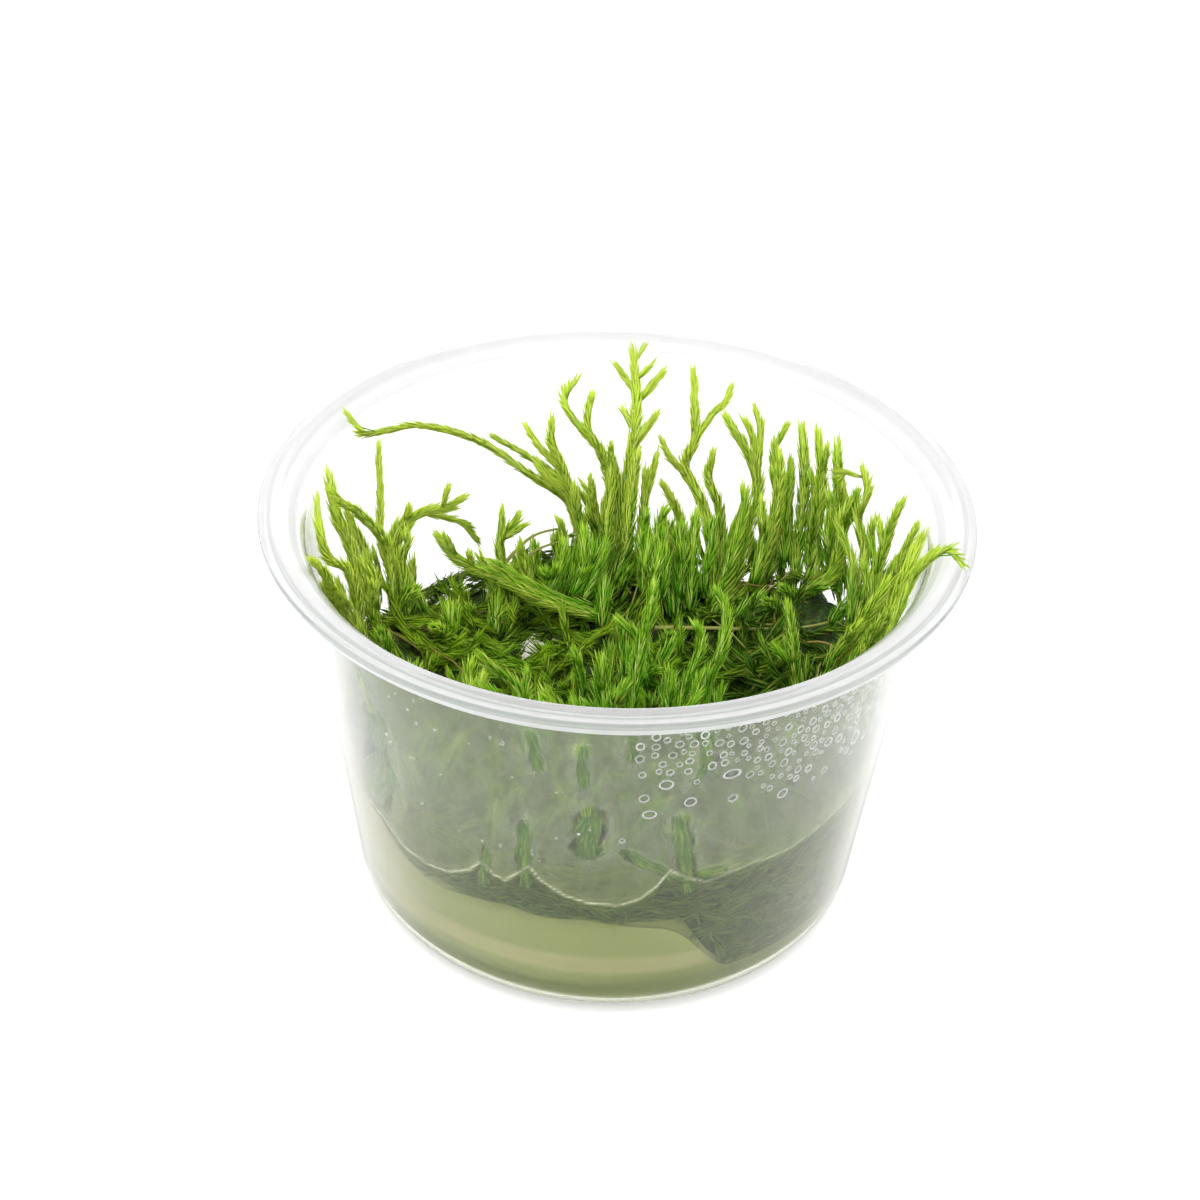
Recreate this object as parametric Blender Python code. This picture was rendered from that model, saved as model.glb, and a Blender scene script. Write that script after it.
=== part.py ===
"""Spiky moss growing on nutrient gel in an open, round culture cup.

Metres, +Z up. The origin is the middle of the cup's foot, on the surface that it stands on.
The front of the cup is at -Y. The pieces are the cup, the gel, the moss bed and the shoots.
"""

import math

import bmesh
import bpy
from mathutils import Matrix, Vector
from mathutils.bvhtree import BVHTree

MM = 0.001
GAP = 0.3 * MM  # between pieces that touch

# The cup
RIM_RADIUS = 50 * MM
RIM_HEIGHT = 64 * MM
WALL_FOOT_RADIUS = 37.1 * MM  # of the outer wall, carried down to the table
WALL_TOP_RADIUS = 44.5 * MM
WALL_TOP_HEIGHT = 62 * MM
WALL = 0.8 * MM
CORNER_RADIUS = 5.25 * MM  # between the wall and the foot
PANEL_RADIUS = 28.6 * MM  # the middle of the floor, raised inside the foot ring
PANEL_RAISE = 0.8 * MM
PANEL_STEP = 0.8 * MM  # across the slope round the panel
SHOULDER_HEIGHT = 60.4 * MM  # where the wall flares out to the rim
BEAD_RADIUS = 46.9 * MM  # the inner edge of the rim
CUP_SIDES = 40
CORNER_SIDES = 4
WALL_SLOPE = (WALL_TOP_RADIUS - WALL_FOOT_RADIUS) / WALL_TOP_HEIGHT
WALL_ANGLE = math.atan(WALL_SLOPE)
CORNER_CENTRE = WALL_FOOT_RADIUS - CORNER_RADIUS * (1 - math.sin(WALL_ANGLE)) / math.cos(WALL_ANGLE)

# The gel, and the moss bed on it
GEL_HEIGHT = 23 * MM
BED_HEIGHT = 28 * MM
RING_SHARES = (0.25, 0.5, 0.7, 0.87, 1.0)  # of the way out to the wall

# The shoots
SHOOT_SIDES = 6
RING_STEP = 4.5 * MM  # along a stem
FORK_LENGTH = 1.4 * MM  # of the stem face that a branch grows from
TIP_SHARE = 0.35  # of the girth, just before the tip
BRANCH_SHARE = 0.75  # of the stem's girth, where a branch starts

# Each shoot: its radius in mm, the foot's (x, y), the points in mm that the stem passes
# through from there up, and its branches. A branch is the share of the stem where it forks
# off, and the points in mm that it passes through.
SHOOTS = {
    "left_wall_frond": (
        0.9,
        (-36, 0),
        [(-38.3, -1, 44), (-39.5, -7, 51.5), (-39.7, -11.2, 57), (-41.2, -15.3, 62.9)],
        [],
    ),
    "left_low": (0.7, (-38.9, 2.2), [(-39.3, 2, 43), (-40, 1.5, 47.5)], []),
    "left_wall_low": (
        0.9,
        (-28.3, -25.5),
        [(-29.3, -25.5, 37), (-31.3, -25.3, 44.5), (-33.6, -23.6, 49.8)],
        [],
    ),
    "left_outer": (
        0.8,
        (-37, 3.8),
        [(-38, 1.5, 48), (-40.3, -1.5, 53), (-41.5, -1.5, 57.5), (-42.3, 2, 61.8)],
        [],
    ),
    "left_tall": (1.1, (-36.3, 8), [(-38.5, 8.5, 47.5), (-40.5, 8, 54.5), (-41.7, 10, 61.3)], []),
    "left_cross": (
        0.8,
        (-33, 12.5),
        [(-34, 13.2, 45), (-37, 9.5, 53), (-39.2, 6, 57.5), (-41.2, 4.5, 61.3)],
        [],
    ),
    "left_inner": (0.8, (-36, 11.8), [(-37, 12, 44.5), (-38.5, 11.5, 49.5), (-39.5, 11, 54)], []),
    "thin_left": (0.55, (-32.3, 17), [(-35, 17.5, 42), (-35.2, 18.5, 50), (-35.4, 20.3, 59.3)], []),
    "left_arm": (
        0.9,
        (-29, 14),
        [(-33.2, 15.3, 41), (-32.5, 16.5, 46), (-29, 16.5, 49), (-25.5, 16, 50.5), (-21.5, 15, 54)],
        [(0.80, [(-24.5, 14, 56.2)]), (0.58, [(-30.5, 15, 52)]),
         (0.68, [(-23.5, 18.2, 46.5), (-20.5, 19, 42)])],
    ),
    "left_loop": (
        0.8,
        (-29.8, 19),
        [(-32, 19.5, 35), (-33, 19.3, 40), (-32, 18.6, 43.5), (-29.7, 18.7, 46.5)],
        [],
    ),
    "creeping_arm": (
        1.1,
        (-4, 17),
        [(-10.5, 17.5, 33), (-16.5, 18.2, 36), (-22, 17.2, 39.3), (-25, 16.2, 43), (-27, 15.2, 47)],
        [(0.78, [(-25.5, 13.2, 48)]), (0.66, [(-21.8, 15, 44)])],
    ),
    "left_fan": (
        0.8,
        (-15.5, 23.5),
        [(-17.5, 23.5, 37), (-17, 23, 41), (-15.5, 22, 44), (-14.5, 21, 47.5)],
        [(0.5, [(-17.2, 22.5, 47)]), (0.62, [(-13, 19.5, 46)])],
    ),
    "left_fan_small": (0.8, (-12, 23), [(-14, 22.3, 37), (-14.3, 20.5, 42.3)], []),
    "runner_long": (
        0.6,
        (-4.5, 34),
        [
            (-6.5, 34.5, 37),
            (-8.5, 34.3, 41),
            (-14, 32.5, 46.5),
            (-21.1, 32, 52),
            (-29.2, 27, 57.7),
            (-35.9, 22.3, 59.2),
            (-37.7, 20.2, 60.9),
            (-40.3, 19.8, 64.7),
        ],
        [],
    ),
    "centre_short": (0.7, (-7.5, 28.5), [(-8, 28, 38), (-9.5, 26.5, 42.5)], []),
    "centre_left": (
        0.9,
        (-2.5, 28.5),
        [(-5.5, 30, 38), (-7, 29.5, 44), (-8.5, 28.5, 50), (-10, 27.5, 55), (-10, 27.5, 60.5)],
        [(0.62, [(-12, 27, 55), (-14.5, 28, 58.5)]), (0.48, [(-10.8, 28, 49), (-12, 28.5, 52.5)])],
    ),
    "hooked": (
        0.9,
        (1.5, 30),
        [(1, 31.5, 39), (-1, 29.5, 47), (-2.5, 28, 53), (-4.5, 26.5, 58), (-4.5, 27, 62), (-3.3, 27, 64.6)],
        [(0.66, [(-7, 26.3, 60.5), (-8, 27.5, 62.7), (-7, 28.8, 64.4), (-5.2, 28.8, 65.3)]),
         (0.44, [(-1.2, 25.6, 57.2)])],
    ),
    "small_pair": (
        0.7,
        (-1.5, 33),
        [(-3, 32, 39), (-3.7, 31, 44), (-4.2, 30, 48.5)],
        [(0.7, [(-6, 31.5, 46.3)])],
    ),
    "tallest": (
        1.1,
        (-1, 24),
        [(0.5, 26, 37), (1.2, 27, 46), (2, 27.8, 53), (2.5, 29, 59), (2.2, 33, 63.5), (1.5, 37, 67.5)],
        [(0.92, [(3.6, 37.8, 67)]), (0.80, [(-1.3, 35.9, 65)]), (0.85, [(5.2, 34.8, 66)]),
         (0.76, [(6.9, 33.8, 65.3)]), (0.65, [(0, 29.5, 61.3)]), (0.58, [(6, 27.7, 61.8)])],
    ),
    "centre_thin": (
        0.8,
        (4, 25),
        [(4, 27.5, 38), (4.3, 28.5, 45), (4.3, 29.5, 50.5)],
        [(0.6, [(6, 28.5, 54)])],
    ),
    "tall_right": (
        0.9,
        (16, 28),
        [(15.5, 29.5, 36.5), (13, 30, 44), (10.5, 31, 49), (11.5, 31.5, 54), (11.3, 32.8, 59.5),
         (11, 37, 64)],
        [(0.66, [(13.5, 32.5, 57), (15.5, 33.3, 59.3), (17, 36.5, 61.5)]),
         (0.50, [(8, 29.7, 52), (6.3, 29.5, 56)])],
    ),
    "right_short": (0.8, (10.5, 28.5), [(10.3, 31, 38), (8.5, 31.5, 43), (6.3, 31, 47)], []),
    "right_mid": (
        1.1,
        (16, 19),
        [(18.5, 22.5, 34.5), (20.5, 25.5, 43), (21.3, 27.3, 49), (19.5, 28.3, 54), (17, 28.5, 58.3),
         (15.7, 29.3, 61.2)],
        [(0.60, [(20.3, 26.8, 56.5), (18.2, 26.5, 61.8)]), (0.64, [(21.2, 29, 57.5), (19.7, 30, 61.7)])],
    ),
    "right_mid_back": (
        1.0,
        (21.5, 22.5),
        [(23, 24, 38), (24.2, 25.5, 45), (24.5, 26, 51), (24, 26.5, 56.5)],
        [],
    ),
    "right_arc": (0.8, (26, 28), [(25.3, 31, 43), (24, 32, 50.5), (24.5, 32.3, 54), (26.3, 33, 57)], []),
    "column_left": (
        1.1,
        (28, 23.5),
        [(28.3, 26, 40), (28.5, 28, 48), (28, 28.8, 54.5), (27.3, 30.5, 58.8)],
        [],
    ),
    "column_mid": (
        1.1,
        (30.5, 20.5),
        [(30.5, 24.7, 40.5), (30.8, 25, 50), (30.2, 25.8, 56), (29.5, 27.5, 59.8)],
        [(0.7, [(31, 23.3, 59.7)])],
    ),
    "column_right": (
        1.1,
        (34, 18.5),
        [(33, 22, 42), (33.2, 22.2, 50.5), (32.7, 22.5, 55.8), (32.3, 24, 60.6)],
        [],
    ),
    "droop_right": (
        0.8,
        (35.5, 10.5),
        [(36.8, 13, 44), (36.8, 14.7, 46.7), (36, 17, 50), (36.7, 17.5, 54), (36.3, 18.2, 56.7),
         (35.2, 19.3, 58.8)],
        [(0.90, [(33.6, 19.6, 56.5), (33.7, 19.1, 53.5), (34, 18.4, 50)])],
    ),
    "diagonal": (1.0, (29.5, 16.5), [(32.3, 17.5, 39), (33.3, 16.5, 43.5), (33.5, 15.5, 48.5)], []),
    "right_tall": (
        0.9,
        (38, 6.8),
        [(38.5, 8.5, 45), (39.2, 8.8, 52), (40, 8.3, 57), (41.3, 8, 60.7)],
        [(0.55, [(37.9, 9.8, 55.9)])],
    ),
    "right_pair": (0.8, (37.5, 2.5), [(39.8, 4.7, 45.5), (41, 3.5, 53), (42.4, 1.5, 60.7)], []),
    "right_low": (1.1, (33, -1), [(35.5, 0, 42.5), (37.6, -0.3, 48), (39.2, 0, 52.5)], []),
    "right_frond": (
        1.2,
        (35.5, -5.5),
        [(37.6, -4.7, 44), (39.1, -7.7, 53), (40.3, -7.7, 59), (42.6, -3.7, 63.2)],
        [(0.75, [(44, -9, 63.8)])],
    ),
    "over_rim": (
        0.6,
        (33, -12),
        [(36.5, -13, 45), (38.6, -13, 54), (40.6, -12, 60.5), (43.5, -13.3, 65.6), (45.2, -16, 66.6),
         (45.6, -18.2, 65.6)],
        [],
    ),
    "front_bent": (
        0.9,
        (14, -13.5),
        [(13.3, -10.5, 38), (15.2, -9.5, 45), (15.5, -9, 51), (13.5, -9.5, 56.3)],
        [],
    ),
    "front_bent_small": (
        0.8,
        (9.5, -11.5),
        [(10.2, -10.5, 38), (12, -10, 44.5), (12, -10, 48), (10.5, -11, 51)],
        [],
    ),
    "front_right": (0.8, (27, -2), [(26, -1.5, 41), (24.5, -1.5, 49)], []),
    "front_hook": (0.8, (6, 1.5), [(4, 2.5, 37), (0, 2, 42)], []),
    "front_broad": (1.3, (-0.5, -8), [(-1.2, -6.5, 35), (-1.7, -6.5, 42)], []),
    "front_left": (
        0.9,
        (-9.6, -16.4),
        [(-11.6, -12.5, 35), (-13.8, -10.5, 38.3), (-16.5, -10.5, 41), (-18.8, -12, 45.3)],
        [(0.42, [(-12, -11, 42.5)])],
    ),
    "front_long": (1.0, (2.8, -10.5), [(3.2, -9.5, 37), (4, -8, 44), (5, -7.5, 50), (5.5, -7.5, 56)], []),
    "front_lean": (0.8, (-4, -2.5), [(-4.7, -3.5, 36), (-5.7, -5.5, 42)], []),
    "front_tuft": (0.8, (8, -5.8), [(8.5, -5.5, 34.5), (8, -5.5, 39.3)], []),
    "clump_back": (1.0, (-9, 22), [(-8.3, 22.5, 35), (-7.7, 23, 41.5)], []),
    "clump_centre": (1.1, (-5, 21.5), [(-4.5, 22.5, 38), (-5, 24, 43.5)], []),
    "clump_right": (1.0, (6, 20.5), [(6.2, 21.5, 38), (6.7, 23.5, 44), (8.5, 22.5, 47.5)], []),
    "clump_far_right": (1.1, (12, 22), [(12, 24, 39), (12.3, 25.5, 46)], []),
    "wall_left": (0.9, (-10, -35), [(-10.2, -37.2, 34), (-10.5, -38.3, 39)], []),
    "wall_broad": (1.3, (-2.5, -35), [(-2.5, -37, 34.5), (-3, -38.3, 40)], []),
    "wall_right": (0.9, (10.5, -35), [(10.3, -37.5, 34.5), (9.5, -38.8, 41)], []),
    "front_inner": (0.9, (-3.5, -25), [(-3.5, -24, 35), (-3.5, -23.5, 41)], []),
    "hidden_right": (0.9, (22, -21), [(23, -22, 36), (24.5, -24, 43)], []),
}


def clear_scene():
    for thing in list(bpy.data.objects):
        bpy.data.objects.remove(thing)


def make_material(name, colour, roughness, see_through=0.0):
    material = bpy.data.materials.new(name)
    material.use_nodes = True
    shader = material.node_tree.nodes["Principled BSDF"]
    shader.inputs["Base Color"].default_value = (*colour, 1)
    shader.inputs["Roughness"].default_value = roughness
    shader.inputs["Metallic"].default_value = 0
    shader.inputs["Transmission Weight"].default_value = see_through
    return material


def add_piece(name, bm, material, smooth_angle=None):
    """Closes a bmesh into a named object whose faces point outwards."""
    bmesh.ops.recalc_face_normals(bm, faces=bm.faces)
    mesh = bpy.data.meshes.new(name)
    bm.to_mesh(mesh)
    bm.free()
    mesh.materials.append(material)
    if smooth_angle:
        mesh.shade_smooth()
        mesh.set_sharp_from_angle(angle=smooth_angle)
    piece = bpy.data.objects.new(name, mesh)
    bpy.context.collection.objects.link(piece)
    return piece


def turn(profile):
    """A solid of revolution from (radius, height) points that start and end on the axis."""
    bm = bmesh.new()
    points = [bm.verts.new((radius, 0, height)) for radius, height in profile]
    edges = [bm.edges.new(pair) for pair in zip(points, points[1:])]
    bmesh.ops.spin(
        bm,
        geom=points + edges,
        cent=(0, 0, 0),
        axis=(0, 0, 1),
        angle=math.tau,
        steps=CUP_SIDES,
        use_merge=True,
    )
    bmesh.ops.remove_doubles(bm, verts=bm.verts, dist=0.001 * MM)
    return bm


def corner_arc(radius):
    """The rounded corner from the floor up to the wall, at a radius about its centre."""
    turned = math.pi / 2 - WALL_ANGLE
    angles = [turned * step / CORNER_SIDES for step in range(CORNER_SIDES + 1)]
    return [(CORNER_CENTRE + radius * math.sin(a), CORNER_RADIUS - radius * math.cos(a)) for a in angles]


def inner_radius(height):
    """The radius of the wall's inner face."""
    return WALL_FOOT_RADIUS + WALL_SLOPE * height - WALL / math.cos(WALL_ANGLE)


def cup():
    """The thin wall, the floor with its raised panel, and the rim with its turned-down skirt."""
    shoulder_outside = WALL_FOOT_RADIUS + WALL_SLOPE * (SHOULDER_HEIGHT - 0.5 * WALL)
    floor = [(0, PANEL_RAISE), (PANEL_RADIUS, PANEL_RAISE), (PANEL_RADIUS + PANEL_STEP, 0)]
    rim = [
        (shoulder_outside, SHOULDER_HEIGHT - 0.5 * WALL),
        (BEAD_RADIUS, RIM_HEIGHT - 1.3 * MM),
        (RIM_RADIUS - 1.6 * MM, RIM_HEIGHT - 1.3 * MM),
        (RIM_RADIUS - 1.7 * MM, RIM_HEIGHT - 2.7 * MM),
        (RIM_RADIUS - 1.0 * MM, RIM_HEIGHT - 2.7 * MM),
        (RIM_RADIUS, RIM_HEIGHT - 0.8 * MM),
        (RIM_RADIUS - 0.4 * MM, RIM_HEIGHT - 0.3 * MM),
        (RIM_RADIUS - 1.8 * MM, RIM_HEIGHT - 0.5 * MM),
        (BEAD_RADIUS + 0.7 * MM, RIM_HEIGHT),
        (BEAD_RADIUS, RIM_HEIGHT),
        (inner_radius(SHOULDER_HEIGHT), SHOULDER_HEIGHT),
    ]
    floor_inside = [
        (PANEL_RADIUS + 1.5 * PANEL_STEP, WALL),
        (PANEL_RADIUS + 0.5 * PANEL_STEP, WALL + PANEL_RAISE),
        (0, WALL + PANEL_RAISE),
    ]
    profile = floor + corner_arc(CORNER_RADIUS) + rim + corner_arc(CORNER_RADIUS - WALL)[::-1] + floor_inside
    return add_piece("cup", turn(profile), PLASTIC, math.radians(35))


def hill(x, y, centre_x, centre_y, spread):
    """A rounded hill of height 1, with every length in mm."""
    return math.exp(-((x / MM - centre_x) ** 2 + (y / MM - centre_y) ** 2) / (2 * spread**2))


def ramp(value, start, end):
    """0 before start, 1 after end, and a smooth rise between."""
    share = min(max((value - start) / (end - start), 0), 1)
    return share * share * (3 - 2 * share)


def gel_height(x, y):
    """The gel's surface: nearly level, and sunk at the front right where old moss fills it."""
    azimuth = math.degrees(math.atan2(x, -y))
    radius = math.hypot(x, y) / MM
    ripple = 0.6 * MM * math.sin(x / (5 * MM)) * math.cos(y / (7 * MM))
    sunk = ramp(azimuth, 6, 26) * ramp(-azimuth, -92, -70) * ramp(radius, 12, 27)
    return (GEL_HEIGHT + ripple) * (1 - sunk) + 7 * MM * sunk


def bed_height(x, y):
    """The moss bed's top: heaped at both walls and under the clumps, with a dip at the back left."""
    walls = 9.5 * hill(x, y, -37, 6, 10) + 8 * hill(x, y, 37, 5, 12)
    clumps = 5.5 * hill(x, y, 3, 23, 7) + 7 * hill(x, y, 27, 19, 6) + 3.5 * hill(x, y, 1, -5, 6)
    dip = 4 * hill(x, y, -23, 30, 7)
    lumps = 0.7 * math.sin(x / (3.4 * MM)) * math.sin(y / (4.1 * MM) + 1)
    return BED_HEIGHT + (walls + clumps - dip + lumps) * MM


def gel():
    """The clear gel, set in the bottom of the cup with its underside on the floor and the corner."""
    corner = corner_arc(CORNER_RADIUS - WALL - GAP)
    underside = WALL + PANEL_RAISE + GAP
    edge = inner_radius(GEL_HEIGHT) - GAP
    top = [(edge * share, GEL_HEIGHT) for share in (0, *RING_SHARES)]
    bottom = [(radius, max(height, underside)) for radius, height in corner[::-1]]
    bm = turn(top + bottom + [(0, underside)])
    for point in bm.verts:
        if point.co.z > GEL_HEIGHT - GAP:
            height = gel_height(point.co.x, point.co.y)
            out = (inner_radius(height) - GAP) / edge
            point.co = (point.co.x * out, point.co.y * out, height)
    bmesh.ops.triangulate(bm, faces=bm.faces)
    return add_piece("gel", bm, GEL)


def moss_bed(gel_piece):
    """The felt of old stems: the gel's upper skin raised by a gap and drawn up to the bed's height."""
    bm = bmesh.new()
    bm.from_mesh(gel_piece.data)
    bm.normal_update()
    below = [face for face in bm.faces if face.normal.z < 0.02]
    bmesh.ops.delete(bm, geom=below, context="FACES")
    bmesh.ops.translate(bm, vec=(0, 0, GAP), verts=bm.verts)
    grown = bmesh.ops.extrude_face_region(bm, geom=bm.faces)["geom"]
    for point in grown:
        if isinstance(point, bmesh.types.BMVert):
            height = bed_height(point.co.x, point.co.y)
            under = point.co.z - GAP
            out = (inner_radius(height) - GAP) / (inner_radius(under) - GAP)
            point.co = (point.co.x * out, point.co.y * out, height)
    return add_piece("moss_bed", bm, OLD_MOSS)


def along(points, share):
    """The place at a share of the way along a smooth curve through the points."""
    spans = len(points) - 1
    span = min(int(share * spans), spans - 1)
    t = share * spans - span
    before, start, end = points[max(span - 1, 0)], points[span], points[span + 1]
    after = points[min(span + 2, spans)]
    bend = (2 * before - 5 * start + 4 * end - after) * t + (3 * (start - end) + after - before) * t * t
    return start + 0.5 * t * (end - before + bend)


def heading(points, share):
    """The direction of the curve there."""
    return (along(points, min(share + 0.01, 1)) - along(points, max(share - 0.01, 0))).normalized()


def draw_out(bm, face, points, shares, radii):
    """Extrudes a face along the curve through the points, and closes it to a tip at the end.

    The rings go at the shares of the way along. Returns the side faces of each stretch.
    """
    centre = face.calc_center_median()
    facing = face.normal.copy()
    radius = sum((corner.co - centre).length for corner in face.verts) / len(face.verts)
    stretches = []
    for share, new_radius in zip(shares, radii):
        place, direction = along(points, share), heading(points, share)
        grown = bmesh.ops.extrude_face_region(bm, geom=[face, *face.edges, *face.verts])["geom"]
        corners = [part for part in grown if isinstance(part, bmesh.types.BMVert)]
        face = next(part for part in grown if isinstance(part, bmesh.types.BMFace))
        swing = facing.rotation_difference(direction).to_matrix().to_4x4()
        size = Matrix.Scale(new_radius / radius, 4)
        move = Matrix.Translation(place) @ swing @ size @ Matrix.Translation(-centre)
        bmesh.ops.transform(bm, matrix=move, verts=corners)
        stretches.append([side for corner in corners for side in corner.link_faces if side != face])
        centre, facing, radius = place, direction, new_radius
    bmesh.ops.pointmerge(bm, verts=list(face.verts), merge_co=points[-1])
    return stretches


def taper(radius, share):
    """A shoot's radius: nearly even for most of its length, and thin at the tip."""
    return radius * (1 - (1 - TIP_SHARE) * share**3)


def stem_shares(length, forks):
    """Where the stem's rings go: evenly, with two close rings at each fork."""
    count = max(2, round(length / RING_STEP))
    half = 0.5 * FORK_LENGTH / length
    even = [step / count for step in range(1, count + 1)]
    kept = [share for share in even if all(abs(share - fork) > 3 * half for fork in forks) or share == 1]
    close = [fork + side * half for fork in forks for side in (-1, 1)]
    return sorted(kept + close)


def shoot(name, bed_tree):
    """One shoot of moss: a tapered stem that stands on the bed, and the branches that fork off it."""
    radius_in_mm, (foot_x, foot_y), way, branches = SHOOTS[name]
    radius = radius_in_mm * MM
    foot = Vector((foot_x * MM, foot_y * MM, foot_height(bed_tree, foot_x * MM, foot_y * MM, radius)))
    points = [foot] + [Vector(point) * MM for point in way]
    length = sum((end - start).length for start, end in zip(points, points[1:]))
    bm = bmesh.new()
    bmesh.ops.create_circle(bm, cap_ends=True, segments=SHOOT_SIDES, radius=radius)
    bmesh.ops.translate(bm, vec=foot, verts=bm.verts)
    bm.normal_update()
    base = next(iter(bm.faces))
    if base.normal.z < 0:
        base.normal_flip()
    shares = stem_shares(length, [share for share, _ in branches])
    stretches = draw_out(bm, base, points, shares, [taper(radius, share) for share in shares])
    for fork, branch_way in branches:
        sides = next(faces for faces, share in zip(stretches, shares) if share > fork)
        way_on = [Vector(point) * MM for point in branch_way]
        branch(bm, sides, along(points, fork), way_on, taper(radius, fork))
    return add_piece(name, bm, NEW_MOSS)


def branch(bm, sides, fork, way, stem_radius):
    """A branch, drawn out of the side of the stem that faces where it goes."""
    bm.normal_update()
    towards = (way[0] - fork).normalized()
    face = max((side for side in sides if side.is_valid), key=lambda side: side.normal.dot(towards))
    start = face.calc_center_median()
    points = [start] + way
    length = sum((end - begin).length for begin, end in zip(points, points[1:]))
    count = max(2, round(length / RING_STEP) + 1)
    shares = [step / count for step in range(1, count + 1)]
    draw_out(bm, face, points, shares, [taper(BRANCH_SHARE * stem_radius, share) for share in shares])


def foot_height(bed_tree, x, y, radius):
    """The height of a shoot's foot, just clear of the bed's highest point under it."""
    angles = [math.tau * step / SHOOT_SIDES for step in range(SHOOT_SIDES)]
    around = [Vector((x + radius * math.cos(a), y + radius * math.sin(a), RIM_HEIGHT)) for a in angles]
    down = Vector((0, 0, -1))
    hits = [bed_tree.ray_cast(start, down)[0] for start in [Vector((x, y, RIM_HEIGHT)), *around]]
    return max(hit.z for hit in hits) + GAP


clear_scene()
PLASTIC = make_material("milky_plastic", (0.93, 0.93, 0.95), 0.25, see_through=0.6)
GEL = make_material("nutrient_gel", (0.66, 0.70, 0.47), 0.1, see_through=0.9)
OLD_MOSS = make_material("old_moss", (0.08, 0.16, 0.02), 0.7)
NEW_MOSS = make_material("new_moss", (0.28, 0.50, 0.06), 0.5)

cup()
bed = moss_bed(gel())
bed_skin = BVHTree.FromPolygons(
    [point.co for point in bed.data.vertices], [face.vertices for face in bed.data.polygons]
)
for shoot_name in SHOOTS:
    shoot(shoot_name, bed_skin)
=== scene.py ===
import math

import bmesh
import bpy
import numpy as np
from mathutils import Matrix, Vector, noise
from mathutils.bvhtree import BVHTree


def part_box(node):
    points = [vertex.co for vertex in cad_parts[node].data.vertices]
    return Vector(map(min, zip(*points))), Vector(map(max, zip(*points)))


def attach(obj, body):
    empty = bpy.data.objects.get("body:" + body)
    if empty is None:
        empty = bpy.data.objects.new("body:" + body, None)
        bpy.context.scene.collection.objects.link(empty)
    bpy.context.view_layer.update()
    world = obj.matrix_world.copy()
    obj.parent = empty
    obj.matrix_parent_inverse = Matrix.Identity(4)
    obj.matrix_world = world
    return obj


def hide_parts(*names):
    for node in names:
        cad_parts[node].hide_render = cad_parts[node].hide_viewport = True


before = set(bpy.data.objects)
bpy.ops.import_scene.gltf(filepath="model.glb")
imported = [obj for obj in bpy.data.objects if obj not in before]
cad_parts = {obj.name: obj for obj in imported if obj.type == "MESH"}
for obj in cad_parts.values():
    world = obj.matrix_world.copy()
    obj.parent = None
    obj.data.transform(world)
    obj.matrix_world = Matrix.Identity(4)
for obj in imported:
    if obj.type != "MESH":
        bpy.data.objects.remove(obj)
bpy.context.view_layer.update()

# The cup: one thin moulding of milky plastic with a sloped wall, a foot ring round a raised
# floor panel, and a flared rim with a bead and a turned-down skirt. It stands open, and its
# inner face is fogged above the wet moss.
MM = 0.001
WALL = 0.8 * MM
WALL_FOOT_RADIUS = 37.1 * MM
WALL_SLOPE = 7.4 / 62
CORNER_RUN = 4.66  # mm of the floor and of the wall that the rounded corner takes up
INNER_CORNER_RUN = 3.95
TURN_STEPS = 180
CORNER_STEPS = 6
EDGE_STEPS = 3
WELD = 0.001 * MM
# Radius, height and rounding in mm, from under the floor, up the outside and down the inside
CUP_PROFILE = [
    (0, 0.8, 0), (28.6, 0.8, 0.3), (29.4, 0, 0.3), (37.1, 0, CORNER_RUN), (44.3, 60.0, 0.8),
    (46.9, 62.7, 0.4), (48.4, 62.7, 0.2), (48.3, 61.3, 0.15), (49.0, 61.3, 0.15),
    (50.0, 63.2, 0.25), (49.6, 63.75, 0.2), (48.3, 63.5, 0.25), (47.7, 64.0, 0.25),
    (46.9, 64.0, 0.3), (43.5, 60.4, 0.8), (36.39, 0.8, INNER_CORNER_RUN), (29.8, 0.8, 0.3),
    (29.0, 1.6, 0.3), (0, 1.6, 0),
]
# Painted shade lines round the rim, where its beads and grooves would be shaded: from and to which
# radius in mm, and how soft
RIM_SHADE_LINES = [(44.3, 45.9, 0.5), (47.9, 48.8, 0.25), (49.6, 49.98, 0.12)]
# Where the wet moss and gel meet the inner wall: degrees from the front towards the right, and mm
WET_LINE = [
    (-180, 25), (-120, 26), (-75, 26), (-62, 26.3), (-52, 24.8), (-46, 22.3), (-39, 21.9),
    (-33, 22.9), (-28, 25.2), (-25, 27.8), (-22.5, 26.0), (-20, 25.6), (-17.5, 27.5),
    (-15, 29.5), (-13, 27.4), (-8, 24.9), (-3, 23.8), (3, 23.6), (7, 24.8), (10, 27.0),
    (12.5, 30), (16, 28.2), (20, 26.6), (24, 27.3), (30, 27.9), (37, 27.4), (48, 28.6),
    (58, 29.6), (90, 29.5), (180, 25),
]


def inner_radius(height):
    """The radius of the wall's inner face at a height."""
    return WALL_FOOT_RADIUS - WALL / math.cos(math.atan(WALL_SLOPE)) + WALL_SLOPE * height


def wet_height(azimuth):
    """The height of the wet line at a number of degrees from the front."""
    return np.interp(azimuth, [at for at, _ in WET_LINE], [mm for _, mm in WET_LINE]) * MM


def round_cup(azimuth, radius, height):
    """The point at a number of degrees from the front, a radius and a height."""
    turn = math.radians(azimuth)
    return radius * math.sin(turn), -radius * math.cos(turn), height


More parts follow.
